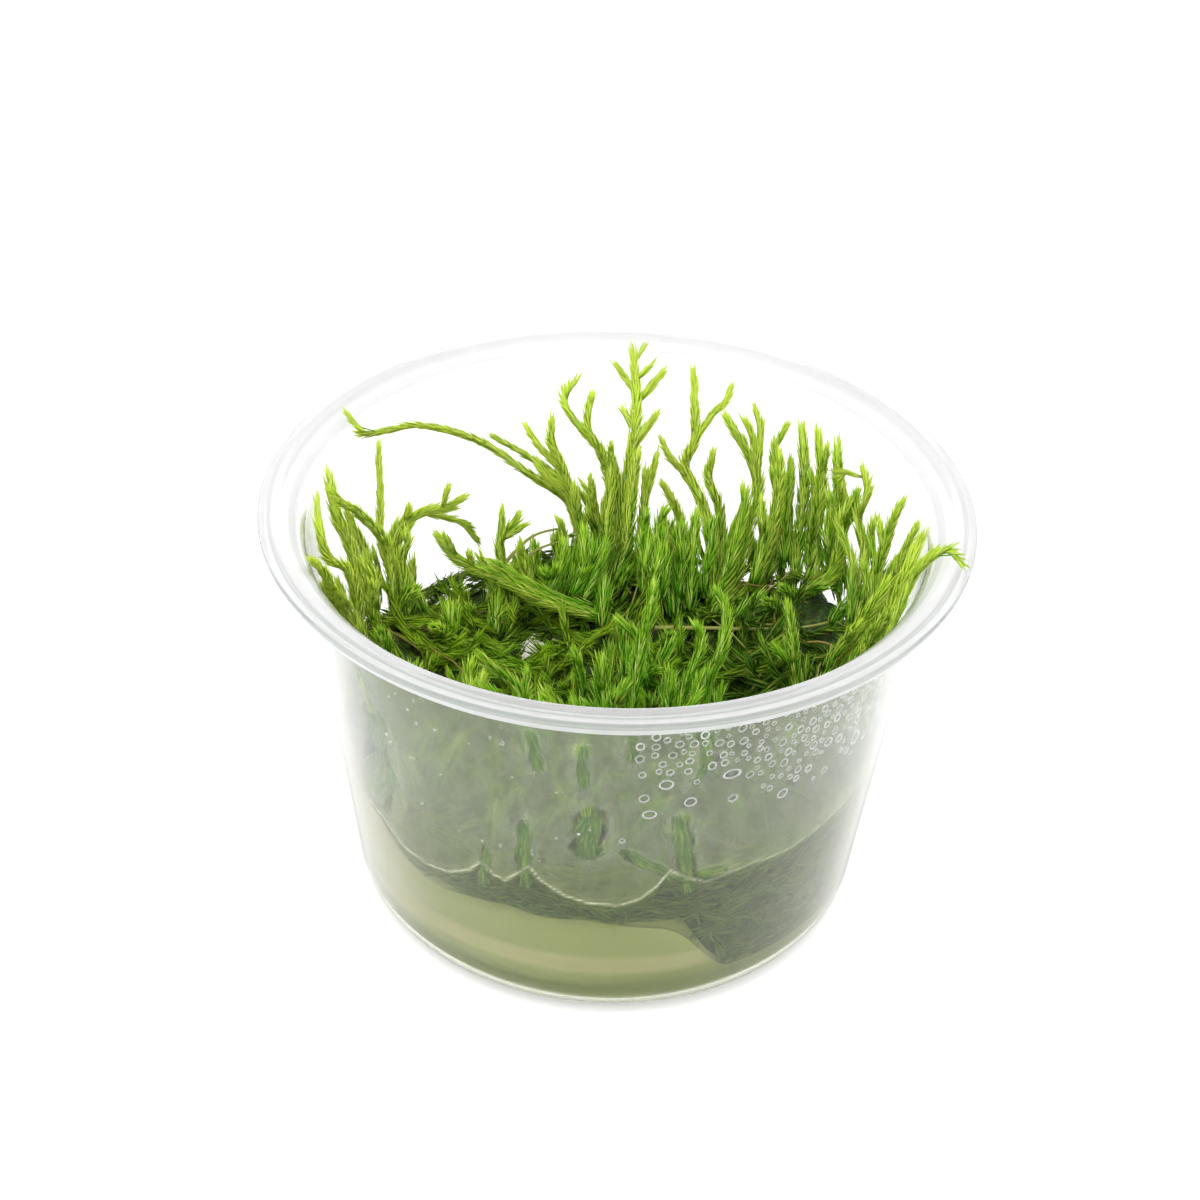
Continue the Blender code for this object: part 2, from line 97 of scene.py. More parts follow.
def turned(profile):
    """A solid of revolution from (radius, height, rounding) in mm, with its ends on the axis."""
    bm = bmesh.new()
    points = [bm.verts.new((radius * MM, 0, height * MM)) for radius, height, _ in profile]
    for pair in zip(points, points[1:]):
        bm.edges.new(pair)
    for point, (_, _, rounding) in zip(points, profile):
        if rounding:
            bmesh.ops.bevel(
                bm,
                geom=[point],
                offset=rounding * MM,
                segments=CORNER_STEPS if rounding > 1 else EDGE_STEPS,
                profile=0.5,
                affect="VERTICES",
                material=-1,
            )
    bmesh.ops.spin(
        bm,
        geom=bm.verts[:] + bm.edges[:],
        cent=(0, 0, 0),
        axis=(0, 0, 1),
        angle=math.tau,
        steps=TURN_STEPS,
        use_merge=True,
    )
    bmesh.ops.remove_doubles(bm, verts=bm.verts, dist=WELD)
    bmesh.ops.recalc_face_normals(bm, faces=bm.faces)
    return bm


def finished(name, bm, material, slot, *nodes, sharp=40):
    """Closes a bmesh into a named, smooth piece that stands for CAD nodes."""
    mesh = bpy.data.meshes.new(name)
    bm.to_mesh(mesh)
    bm.free()
    mesh.materials.append(material)
    mesh.shade_smooth()
    mesh.set_sharp_from_angle(angle=math.radians(sharp))
    piece = bpy.data.objects.new(name, mesh)
    bpy.context.collection.objects.link(piece)
    settle(piece, slot, *nodes)
    return piece


def settle(piece, slot, *nodes):
    """Fixes a piece to the object, in place of the CAD nodes that it stands for."""
    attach(piece, "root")
    if nodes:
        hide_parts(*nodes)


class Signal:
    """One output of a finish's nodes. Sums on it add Math nodes."""

    def __init__(self, finish, socket):
        self.finish = finish
        self.socket = socket

    def combined(self, operation, *terms):
        return self.finish.node("ShaderNodeMath", {"operation": operation}, dict(enumerate(terms)))

    def __add__(self, other):
        return self.combined("ADD", self, other)

    def __sub__(self, other):
        return self.combined("SUBTRACT", self, other)

    def __rsub__(self, other):
        return self.combined("SUBTRACT", other, self)

    def __mul__(self, other):
        return self.combined("MULTIPLY", self, other)

    __radd__ = __add__
    __rmul__ = __mul__

    def band(self, start, end, soft):
        """1 between start and end and 0 outside, with soft sides."""
        return self.ramp(start, start + soft) - self.ramp(end - soft, end)

    def ramp(self, start, end):
        """A smooth change from 0 at start to 1 at end."""
        settings = {"interpolation_type": "SMOOTHSTEP"}
        return self.finish.node(
            "ShaderNodeMapRange", settings, {"Value": self, "From Min": start, "From Max": end}
        )


class Finish:
    """A material, whose nodes all come from its one method."""

    def __init__(self, name):
        self.material = bpy.data.materials.new(name)
        self.material.use_nodes = True
        self.tree = self.material.node_tree
        self.tree.nodes.clear()
        self.output = self.tree.nodes.new("ShaderNodeOutputMaterial")

    def node(self, kind, settings=None, sockets=None, result=0):
        """A node with its settings first and then its sockets' values or links."""
        made = self.tree.nodes.new(kind)
        for setting, value in (settings or {}).items():
            setattr(made, setting, value)
        for key, value in (sockets or {}).items():
            socket = self.socket_of(made, key)
            if isinstance(value, Signal):
                self.tree.links.new(value.socket, socket)
            else:
                socket.default_value = value
        if isinstance(result, int):
            return Signal(self, made.outputs[result])
        named = [out for out in made.outputs if result in (out.identifier, out.name)]
        return Signal(self, named[0])

    def socket_of(self, made, key):
        if isinstance(key, int):
            return made.inputs[key]
        exact = [socket for socket in made.inputs if socket.identifier == key]
        return (exact or [made.inputs[key]])[0]

    def axes(self, place):
        """A place's three coordinates."""
        split = self.node("ShaderNodeSeparateXYZ", None, {0: place})
        return [Signal(self, out) for out in split.socket.node.outputs]

    def channels(self, colour):
        """A colour's red, green and blue."""
        split = self.node("ShaderNodeSeparateColor", None, {0: colour})
        return [Signal(self, out) for out in split.socket.node.outputs]

    def radius(self, across, deep):
        """How far a place is from the cup's axis."""
        squares = across * across + deep * deep
        return self.node("ShaderNodeMath", {"operation": "SQRT"}, {0: squares})

    def azimuth(self, across, deep):
        """Where a place is round the cup, in degrees from the front towards the right."""
        turn = self.node("ShaderNodeMath", {"operation": "ARCTAN2"}, {0: across, 1: deep * -1})
        return turn * math.degrees(1)

    def blend(self, factor, low, high):
        """A colour between two colours."""
        return self.node(
            "ShaderNodeMix",
            {"data_type": "RGBA"},
            {"Factor_Float": factor, "A_Color": low, "B_Color": high},
            result="Result_Color",
        )

    def mixed(self, factor, low, high):
        """A shader between two shaders."""
        return self.node("ShaderNodeMixShader", None, {0: factor, 1: low, 2: high})

    def noise(self, place, scale, detail=2.0):
        return self.node(
            "ShaderNodeTexNoise", None, {"Vector": place, "Scale": scale, "Detail": detail}
        )

    def place(self):
        """Where a point lies on the object, in its own coordinates."""
        return self.node("ShaderNodeTexCoord", result="Object")

    def attribute(self, name, result="Color"):
        return self.node("ShaderNodeAttribute", {"attribute_name": name}, result=result)

    def skin(self, colour, roughness, more=None):
        """A Principled shader from its colour, its roughness and its other sockets."""
        sockets = {"Base Color": colour, "Roughness": roughness, **(more or {})}
        return self.node("ShaderNodeBsdfPrincipled", None, sockets)

    def clear(self, colour, roughness, ior):
        """A Principled shader that lets light through."""
        return self.skin(colour, roughness, {"IOR": ior, "Transmission Weight": 1.0})

    def backlight(self, colour):
        return self.node("ShaderNodeBsdfTranslucent", None, {"Color": colour})

    def depth(self, colour, density):
        """What a clear thing takes up from light on its way through."""
        sockets = {"Color": colour, "Density": density}
        return self.node("ShaderNodeVolumeAbsorption", None, sockets)

    def done(self, surface, volume=None):
        self.tree.links.new(surface.socket, self.output.inputs["Surface"])
        if volume:
            self.tree.links.new(volume.socket, self.output.inputs["Volume"])
        return self.material


RIM_RADII = (44.3 * MM, 45.0 * MM)  # where the rim's milk starts and is full
FRONT_RUN = (20 * MM, -40 * MM)  # from the middle of the cup to its front
WET_HEIGHTS = (38 * MM, 26 * MM)  # down to where moss and gel lie against the wall
PLASTIC = (0.965, 0.96, 0.97, 1)
# Painted light: where moss lies behind the low front wall, its green light is painted into the
# clear plastic
PLASTIC_PAINTED_MOSS_LIGHT = (0.935, 0.95, 0.82, 1)
PLASTIC_ROUGHNESS = 0.09
PLASTIC_IOR = 1.30
PLASTIC_DEPTH = (0.80, 0.795, 0.77, 1)
PLASTIC_DENSITY = 120.0
MILK_BACK = (0.66, 0.645, 0.66, 1)
# The front wall's milk is painted shade, grey-green from the moss inside, and lower down the moss's
# green light is painted into it
MILK_FRONT_PAINTED_SHADE = (0.50, 0.52, 0.42, 1)
MILK_PAINTED_MOSS_LIGHT = (0.30, 0.37, 0.09, 1)
MILK_RIM = (0.84, 0.835, 0.845, 1)
# The rim's painted shade lines, painted darker and greener at the front
SHADE_LINE_BACK = (0.74, 0.735, 0.75, 1)
SHADE_LINE_FRONT = (0.54, 0.575, 0.55, 1)
MILK_ROUGHNESS = 0.3
MILK_IOR = 1.36
RIM_CLOUD = 0.52
SWIRL_CLOUD = 0.06
SWIRL_SCALE = 60
BACK_CLOUD = 0.075
FRONT_LESS = 0.055  # cloud than at the back


def cup_plastic():
    """Clear plastic with a little milk in it, which shows most in the thick rim. Its rim lines and
    front wall carry painted shade, and its low front the moss's green light, painted in.
    """
    finish = Finish("milky_plastic")
    place = finish.place()
    across, deep, height = finish.axes(place)
    radius = finish.radius(across, deep)
    rim = radius.ramp(*RIM_RADII)
    front = deep.ramp(*FRONT_RUN)
    # Painted light: the front wall's milk is painted shade, and low on it the moss's green light is
    # painted in
    wet = height.ramp(*WET_HEIGHTS) * front
    clear_colour = finish.blend(wet, PLASTIC, PLASTIC_PAINTED_MOSS_LIGHT)
    # Painted shade: darker lines round the rim, darker and greener at the front
    shade_lines = sum(radius.band(start * MM, end * MM, soft * MM) for start, end, soft in RIM_SHADE_LINES)
    wall_colour = finish.blend(front, MILK_BACK, MILK_FRONT_PAINTED_SHADE)
    wall_colour = finish.blend(wet, wall_colour, MILK_PAINTED_MOSS_LIGHT)
    shade_line_colour = finish.blend(front, SHADE_LINE_BACK, SHADE_LINE_FRONT)
    milk_colour = finish.blend(rim, wall_colour, MILK_RIM)
    milk_colour = finish.blend(shade_lines, milk_colour, shade_line_colour)
    milk = finish.skin(milk_colour, MILK_ROUGHNESS, {"IOR": MILK_IOR})
    cloud = finish.mixed(0.5, milk, finish.backlight(milk_colour))
    swirl = finish.noise(place, SWIRL_SCALE, 3) * SWIRL_CLOUD
    cloudiness = rim * RIM_CLOUD + swirl + (BACK_CLOUD - front * FRONT_LESS)
    clear = finish.clear(clear_colour, PLASTIC_ROUGHNESS, PLASTIC_IOR)
    depth = finish.depth(PLASTIC_DEPTH, PLASTIC_DENSITY)
    return finish.done(finish.mixed(cloudiness, clear, cloud), depth)


finished("culture_cup", turned(CUP_PROFILE), cup_plastic(), "milky_plastic", "cup")

# The gel: agar jelly poured into the bottom of the cup and set there, clear inside and cloudy at
# the wall. At the front right it gives way to old moss, which grows down to the floor.
GEL_GAP = 0.06  # mm to the wall
GEL_TOP = 23.0
GEL_UNDERSIDE = 1.66
GEL_FOOT = 0.86
GEL_STEP = (28.9, 29.9)  # the radii between which the underside goes down round the floor panel
GEL_EDGE = 0.3
GEL_SHARP = 60  # degrees
GEL_WAVE = 0.6
WAVE_ACROSS, WAVE_DEEP = 5, 7
GEL_SUNK = 7.0
SUNK_RADII = (12, 27)  # mm
SUNK_START = (12, 29)  # degrees from the front, where the gel starts to sink and lies low
SUNK_END = (92, 70)  # where it has risen again and still lies low
CLIMB = 4.0  # mm from the wall, where the gel's surface starts to turn up or down to its edge
GEL_RINGS = (36.2, 35.8, 35.3, 34.6, 33.6, 32, 29, 26, 23, 20, 17, 14, 11, 8, 4)
# The height of the gel's edge at the wall: degrees from the front towards the right, and mm
GEL_LINE = [
    (-180, 25), (-62, 25.8), (-54, 24.2), (-47, 20.5), (-42, 19.0), (-36, 18.6), (-28, 19.8),
    (-20, 20.6), (-12, 19.8), (-4, 20.4), (4, 19.4), (14, 18), (95, 24), (180, 25),
]


def rising(value, start, end):
    """0 before start, 1 after end, and a smooth rise between."""
    share = np.clip((value - start) / (end - start), 0, 1)
    return share * share * (3 - 2 * share)


def gel_surface(x, y):
    """The height of the gel's surface at a place, with every length in mm."""
    radius, azimuth = math.hypot(x, y), math.degrees(math.atan2(x, -y))
    level = GEL_TOP + GEL_WAVE * math.sin(x / WAVE_ACROSS) * math.cos(y / WAVE_DEEP)
    edge = np.interp(azimuth, [at for at, _ in GEL_LINE], [mm for _, mm in GEL_LINE])
    near = np.clip(1 - (inner_radius(edge * MM) / MM - radius) / CLIMB, 0, 1)
    sunk = rising(azimuth, *SUNK_START) * rising(-azimuth, -SUNK_END[0], -SUNK_END[1])
    sunk = sunk * rising(radius, *SUNK_RADII)
    return (level + (edge - level) * near**2) * (1 - sunk) + GEL_SUNK * sunk


GEL_CLEAR = (0.99, 0.99, 0.97, 1)
GEL_ROUGHNESS = 0.03
GEL_IOR = 1.335
GEL_DEPTH = (0.66, 0.70, 0.30, 1)
GEL_DENSITY = 16.0
GEL_GREEN = (0.52, 0.58, 0.17, 1)
GEL_CREAM = (0.95, 0.90, 0.64, 1)
# The olive band low in the gel is painted shade, dim and green from the light that comes down
# through the moss
GEL_LOW_PAINTED_SHADE = (0.30, 0.38, 0.07, 1)
GEL_RING = (0.84, 0.79, 0.42, 1)
CREAM_SIDE = (-32, -58)  # degrees
LOW_HEIGHTS = (9 * MM, 6 * MM)
RING_BAND = (8.2 * MM, 13.2 * MM, 1.6 * MM)  # from, to, and how soft
RING_END = (32, 18)  # degrees
CLOUD_LEFT, CLOUD_RIGHT = (-150, -75), (150, 90)
CLOUD_RADII = (31 * MM, 35 * MM)
CLOUD_ROUGHNESS = 0.4
GEL_CLOUD = 0.75
GEL_SWIRL = 0.2
GEL_SWIRL_SCALE = 90


def gel_jelly():
    finish = Finish("nutrient_gel")
    place = finish.place()
    across, deep, height = finish.axes(place)
    azimuth = finish.azimuth(across, deep)
    colour = finish.blend(azimuth.ramp(*CREAM_SIDE), GEL_GREEN, GEL_CREAM)
    # Painted shade: the gel turns olive towards the bottom
    colour = finish.blend(height.ramp(*LOW_HEIGHTS), colour, GEL_LOW_PAINTED_SHADE)
    ring = height.band(*RING_BAND) * azimuth.ramp(*RING_END)
    colour = finish.blend(ring, colour, GEL_RING)
    haze = finish.mixed(0.5, finish.skin(colour, CLOUD_ROUGHNESS), finish.backlight(colour))
    front = azimuth.ramp(*CLOUD_LEFT) * azimuth.ramp(*CLOUD_RIGHT)
    wall = finish.radius(across, deep).ramp(*CLOUD_RADII)
    swirl = finish.noise(place, GEL_SWIRL_SCALE, 3) * GEL_SWIRL
    cloudiness = front * wall * (swirl + GEL_CLOUD)
    clear = finish.clear(GEL_CLEAR, GEL_ROUGHNESS, GEL_IOR)
    depth = finish.depth(GEL_DEPTH, GEL_DENSITY)
    return finish.done(finish.mixed(cloudiness, clear, haze), depth)


def gel():
    foot = inner_radius(0) / MM - GEL_GAP
    top_radius = inner_radius(GEL_TOP * MM) / MM - GEL_GAP
    rings = [(top_radius * ring / GEL_RINGS[0], GEL_TOP, 0) for ring in GEL_RINGS]
    panel, step = GEL_STEP
    profile = [(0, GEL_UNDERSIDE, 0), (panel, GEL_UNDERSIDE, GEL_EDGE), (step, GEL_FOOT, GEL_EDGE)]
    profile += [(foot + 0.1, GEL_FOOT, INNER_CORNER_RUN), *rings, (0, GEL_TOP, 0)]
    bm = turned(profile)
    for point in bm.verts:
        if point.co.z > (GEL_TOP - 0.1) * MM:
            height = gel_surface(point.co.x / MM, point.co.y / MM)
            out = (inner_radius(height * MM) / MM - GEL_GAP) / top_radius
            point.co = (point.co.x * out, point.co.y * out, height * MM)
    finished("gel_jelly", bm, gel_jelly(), "nutrient_gel", "gel", sharp=GEL_SHARP)


gel()

# The condensation: a fine mist on the inner face of the wall above the wet line, cleared round
# each droplet and where a shoot is pressed to the wall, with a painted highlight along the edge of
# the water there. The mist's colour is painted light: a green shade from the moss behind it, and
# painted highlights.
MIST_GAP = 0.05 * MM
MIST_THICKNESS = 0.03 * MM
MIST_SIDES = (-110, 90)  # degrees
MIST_HEIGHTS = (17, 60.2)  # mm
MIST_STEPS = (320, 104)
DEGREE = 0.72  # mm along the wall
# Where shoots are pressed to the wall: azimuth and height at both ends, and half the width in mm
PRESSED_SHOOTS = [
    ((-52.5, 54), (-49, 47), 0.9), ((-49, 46), (-50, 37), 2.4), ((-50, 37), (-53.5, 30), 3.9),
    ((-13.8, 55), (-12.7, 49.3), 0.8), ((-4.7, 54), (-4.5, 47), 0.7), ((-2.9, 41), (-3.9, 35), 2.2),
    ((-15.8, 37.8), (-16.2, 28), 1.0), ((-23.8, 30.8), (-25, 25), 0.8),
    ((3.7, 34.6), (6.5, 32.5), 0.9), ((6.5, 32.5), (11.5, 30), 0.8), ((13.4, 40), (16.2, 28), 1.2),
    ((17.5, 28), (22.5, 28), 1.5), ((15.8, 56), (17.4, 50.7), 0.8),
    ((17.4, 50.7), (15.4, 47.2), 0.6), ((3.5, 56), (3.7, 52.4), 0.7),
]
# Droplets: azimuth, height in mm, width in mm, and how much taller than wide
LARGE_DROPS = [
    (22.2, 47.5, 3.0, 0.66), (52.4, 43.4, 2.1, 1.35), (10.1, 47.3, 2.3, 0.9), (7.5, 41.8, 2.3, 0.8),
    (6.3, 44.9, 1.7, 1.0), (14.9, 43.5, 2.0, 1.0), (34.1, 40.4, 2.0, 1.0), (23.1, 42.7, 1.6, 1.0),
    (23.5, 53.3, 1.5, 1.0), (43.5, 46.5, 1.7, 1.1), (39.5, 47.5, 1.5, 1.1), (2.8, 36.8, 0.9, 1.1),
]
DROP_SEED = 11
SMALL_DROPS = 190
SMALL_WIDTH, SMALL_SPREAD = 0.7, 0.8  # mm
SMALL_HEIGHTS = (40, 57, 59.3)  # lowest, most often and highest, in mm
SMALL_LEFT, SMALL_RIGHT = 7, 64  # degrees
SMALL_SLANT = 1.3  # degrees that the left side moves right for each mm under the top
SMALL_TOP = 60
MIDDLE_DROPS = 24
MIDDLE_WIDTHS = (0.8, 1.5)
MIDDLE_AZIMUTHS = (11.5, 2.4)  # mean and spread
MIDDLE_HEIGHTS = (52.3, 1.8)
LEFT_DROPS = 45
LEFT_WIDTH, LEFT_SPREAD = 0.25, 0.4
LEFT_AZIMUTHS = (-48, 0)
LEFT_HEIGHTS = (31, 58)
DROP_ROOM = 0.58  # of both widths, between two droplets' middles
STRETCHES = (0.95, 1.25)
TRIES = 20
HIGHLIGHT_SHARE = 0.60  # of a droplet's radius, where its painted highlight starts
SHADE_SHARE = 0.86  # where a large droplet's painted shade outline starts
SHADE_OUTLINE_WIDTH = 1.3  # mm, the width from which a droplet has one
ALL_HIGHLIGHT_WIDTH = 0.5  # mm, the width under which a droplet is all painted highlight
BULGE = 0.8  # of the radius, for droplets up to 1 mm wide
DROP_BACK = 0.02  # the same on the wall's side
DROP_SHARP = 50  # degrees
DROP_STEPS = 12
DROP_LEVELS, LARGE_LEVELS = 8, 12
# The water's grey-green tint is painted shade in each droplet's middle
SHADED_WATER = (0.8, 0.82, 0.78, 1)
WATER_IOR = 1.33
# The painted highlight round a droplet and its painted shade outline: colour and roughness
DROP_PAINTED_LIGHT = [
    ("droplet_painted_highlight", (0.97, 0.98, 0.97, 1), 0.2),
    ("droplet_painted_shade", (0.30, 0.33, 0.24, 1), 0.3),
]


def drop_spots():
    """Every droplet's azimuth, height, width and stretch, with none on top of another."""
    rng = np.random.default_rng(DROP_SEED)
    spots = list(LARGE_DROPS)
    tries = ["right"] * SMALL_DROPS + ["middle"] * MIDDLE_DROPS + ["left"] * LEFT_DROPS
    sizes = [SMALL_WIDTH + SMALL_SPREAD * rng.random() ** 1.5 for _ in range(SMALL_DROPS)]
    sizes += [rng.uniform(*MIDDLE_WIDTHS) for _ in range(MIDDLE_DROPS)]
    sizes += [LEFT_WIDTH + LEFT_SPREAD * rng.random() ** 2 for _ in range(LEFT_DROPS)]
    for side, size in zip(tries, sizes):
        for _ in range(TRIES):
            if side == "right":
                height = rng.triangular(*SMALL_HEIGHTS)
                slant = SMALL_SLANT * (SMALL_TOP - height)
                azimuth = rng.uniform(SMALL_LEFT + slant, SMALL_RIGHT)
            elif side == "middle":
                azimuth, height = rng.normal(*MIDDLE_AZIMUTHS), rng.normal(*MIDDLE_HEIGHTS)
            else:
                azimuth, height = rng.uniform(*LEFT_AZIMUTHS), rng.uniform(*LEFT_HEIGHTS)
            apart = min(
                math.hypot((azimuth - at) * DEGREE, height - up) - DROP_ROOM * (size + width)
                for at, up, width, _ in spots
            )
            if apart > 0:
                spots.append((azimuth, height, size, rng.uniform(*STRETCHES)))
                break
    return spots


def droplets():
    bm = bmesh.new()
    for azimuth, height, width, stretch in drop_spots():
        radius = 0.5 * width * MM
        levels = LARGE_LEVELS if width > SHADE_OUTLINE_WIDTH else DROP_LEVELS
        cap = bmesh.ops.create_uvsphere(bm, u_segments=DROP_STEPS, v_segments=levels, radius=radius)
        bulge = BULGE / max(1, width)
        for point in cap["verts"]:
            point.co.z *= bulge if point.co.z > 0 else DROP_BACK
        # Painted light: the outer faces get the painted highlight, and a large droplet's outermost
        # the painted shade
        for face in {face for point in cap["verts"] for face in point.link_faces}:
            middle = face.calc_center_median()
            out = math.hypot(middle.x, middle.y) / radius
            face.material_index = int(out > HIGHLIGHT_SHARE or width < ALL_HIGHLIGHT_WIDTH)
            if out > SHADE_SHARE and width > SHADE_OUTLINE_WIDTH:
                face.material_index = 2
        turn = math.radians(azimuth)
        spot = inner_radius(height * MM) - MIST_GAP - MIST_THICKNESS
        sideways = Vector((math.cos(turn), math.sin(turn), 0))
        upright = Matrix.Rotation(math.pi / 2 + turn, 4, "Z") @ Matrix.Rotation(math.pi / 2, 4, "Y")
        lean = Matrix.Rotation(math.atan(WALL_SLOPE), 4, sideways)
        place = Matrix.Translation(round_cup(azimuth, spot, height * MM))
        taller = Matrix.Scale(stretch, 4, (1, 0, 0))
        bmesh.ops.transform(bm, matrix=place @ lean @ upright @ taller, verts=cap["verts"])
    water = Finish("condensed_water")
    water = water.done(water.clear(SHADED_WATER, 0.0, WATER_IOR))
    made = finished("droplets", bm, water, "milky_plastic", sharp=DROP_SHARP)
    for name, colour, roughness in DROP_PAINTED_LIGHT:
        finish = Finish(name)
        made.data.materials.append(finish.done(finish.skin(colour, roughness)))


FAR_AWAY = 99.0  # mm
RAGGED = 0.35  # mm that the outline of a pressed shoot wavers
RAGGED_WAVES = (0.9, 0.4, 0.8)
MIST_WAVES = (0.9, 0.35, 0.5, 0.21)
EDGE = (0.22, 0.2)  # mm from the wet line to the painted highlight along the water's edge, and its width
EDGE_FADE, EDGE_FADE_SIDE = 0.55, (17, 25)
HALO, HALO_PLACE = 0.35, (0.3, 0.3)  # the same painted highlight round the pressed shoots
RIPPLE_LENGTH, RIPPLE_REACH = 1.2, 3  # mm
TOP_RIGHT, TOP_RIGHT_HEIGHTS = (15, 50), (36, 52)
# How much of the mist's cover comes from the sheet itself, its waves, the top right and the painted
# highlight at the edge
COVER, COVER_WAVES, COVER_TOP_RIGHT, COVER_EDGE = 0.37, 0.06, 0.03, 0.65
# How much painted highlight the mist has: a base, its waves, the top right, the water's edge,
# ripples beside it, and more at the right and the left
BRIGHT, BRIGHT_WAVES, BRIGHT_TOP_RIGHT, BRIGHT_EDGE = 0.05, 0.06, 0.28, 0.75
BRIGHT_RIPPLES = 0.30
BRIGHT_RIGHT, BRIGHT_RIGHT_SIDE, BRIGHT_RIGHT_LINE = 0.45, (42, 56), (-5, -1)
BRIGHT_LEFT, BRIGHT_LEFT_SIDE = 0.2, (50, 70)
CLEARED = (0.0, 0.4)  # mm from the wet line and the pressed shoots
DROP_CLEARED = (0.85, 1.25)  # of a droplet's half width
MIST_FULL_SIDES = (-65, 74)
MIST_FULL_TOP = 59  # mm


def from_wet(across, up):
    """How many mm a place on the wall is from the wet line, and from a pressed shoot."""
    slope = (wet_height(across + 0.5) - wet_height(across - 0.5)) / MM / DEGREE
    line = (up - wet_height(across) / MM) / np.sqrt(1 + slope**2)
    shoot = np.full(np.shape(across), FAR_AWAY)
    fast, slow, twist = RAGGED_WAVES
    ragged = RAGGED * np.sin(up * fast + across) * np.sin(up * slow - across * twist)
    for (start_across, start_up), (end_across, end_up), half in PRESSED_SHOOTS:
        run = np.array([(end_across - start_across) * DEGREE, end_up - start_up])
        there = np.stack([(across - start_across) * DEGREE, up - start_up], axis=-1)
        share = np.clip(there @ run / (run @ run), 0, 1)
        gap = np.linalg.norm(there - share[..., None] * run, axis=-1) - half
        shoot = np.minimum(shoot, gap + ragged)
    return line, shoot


def bump(value, middle, width):
    """1 at the middle, and less and less to both sides."""
    return np.exp(-(((value - middle) / width) ** 2))


def mist_amount(across, up):
    """How thick the mist is at each place, and how much painted highlight it has, both from 0 to 1.
    """
    line, shoot = from_wet(across, up)
    away = np.minimum(line, shoot)
    round_fast, up_slow, up_fast, round_slow = MIST_WAVES
    waves = np.sin(across * round_fast + 2 * np.sin(up * up_slow))
    waves = waves * np.sin(up * up_fast + 2 * np.sin(across * round_slow))
    # Painted highlights: a line along the water's edge, a halo round the pressed shoots, and bands
    # beside both
    edge = bump(line, *EDGE) * (1 - EDGE_FADE * rising(across, *EDGE_FADE_SIDE))
    edge = edge + HALO * bump(away, *HALO_PLACE)
    ripples = np.exp(-np.abs(away) / RIPPLE_REACH)
    ripples = ripples * (0.5 + 0.5 * np.cos(away * math.tau / RIPPLE_LENGTH + waves))
    top_right = rising(across, *TOP_RIGHT) * rising(up, *TOP_RIGHT_HEIGHTS)
    amount = COVER + COVER_WAVES * waves + COVER_TOP_RIGHT * top_right
    amount = np.maximum(amount * rising(away, *CLEARED), COVER_EDGE * edge)
    # The painted highlight that brightens the mist's colour
    bright = BRIGHT + BRIGHT_WAVES * waves + BRIGHT_TOP_RIGHT * top_right
    bright = bright + BRIGHT_RIPPLES * ripples + BRIGHT_EDGE * edge
    right = rising(across, *BRIGHT_RIGHT_SIDE) * rising(-line, *BRIGHT_RIGHT_LINE)
    bright += BRIGHT_RIGHT * right + BRIGHT_LEFT * rising(-across, *BRIGHT_LEFT_SIDE)
    for azimuth, height, width, stretch in drop_spots():
        off = np.hypot((across - azimuth) * DEGREE, (up - height) / stretch) / (0.5 * width)
        amount = amount * rising(off, *DROP_CLEARED)
    left = rising(across, MIST_SIDES[0], MIST_FULL_SIDES[0])
    sides = left * rising(-across, -MIST_SIDES[1], -MIST_FULL_SIDES[1])
    fade = sides * rising(-up, -MIST_HEIGHTS[1], -MIST_FULL_TOP)
    return np.clip(amount, 0, 1) * fade, np.clip(bright, 0, 1)


# The mist's painted colours: a dark green painted shade from the moss behind it, and a painted
# highlight
MIST_PAINTED_SHADE = (0.20, 0.28, 0.08, 1)
MIST_PAINTED_HIGHLIGHT = (0.90, 0.92, 0.80, 1)
MIST_ROUGHNESS = 0.5
MIST_SHARP = 60  # degrees
SPECK_SCALE = 2600
SPECKS = (0.3, 0.7)
SPECK_DEPTH = 0.3
SPECK_BASE = 0.85


def mist():
    """The mist's sheet, which is closed and follows the wall."""
    bm = bmesh.new()
    bmesh.ops.create_grid(bm, x_segments=MIST_STEPS[0], y_segments=MIST_STEPS[1], size=0.5)
    layer = bm.verts.layers.float_color.new("mist")
    flat = np.array([point.co for point in bm.verts])
    across = MIST_SIDES[0] + (MIST_SIDES[1] - MIST_SIDES[0]) * (flat[:, 0] + 0.5)
    up = MIST_HEIGHTS[0] + (MIST_HEIGHTS[1] - MIST_HEIGHTS[0]) * (flat[:, 1] + 0.5)
    amounts, brights = mist_amount(across, up)
    for point, azimuth, height, amount, bright in zip(bm.verts, across, up, amounts, brights):
        point.co = round_cup(azimuth, inner_radius(height * MM) - MIST_GAP, height * MM)
        point[layer] = (amount, bright, 0, 1)
    bmesh.ops.solidify(bm, geom=bm.faces[:], thickness=MIST_THICKNESS)
    bmesh.ops.recalc_face_normals(bm, faces=bm.faces)
    finish = Finish("mist")
    amount, bright, _ = finish.channels(finish.attribute("mist"))
    specks = finish.noise(finish.place(), SPECK_SCALE, 1).ramp(*SPECKS) * SPECK_DEPTH + SPECK_BASE
    # Painted light: the mist's colour runs from painted shade to painted highlight
    colour = finish.blend(bright, MIST_PAINTED_SHADE, MIST_PAINTED_HIGHLIGHT)
    veil = finish.skin(colour, MIST_ROUGHNESS, {"Alpha": amount * specks})
    return finished("condensed_mist", bm, finish.done(veil), "milky_plastic", sharp=MIST_SHARP)


droplets()
mist()

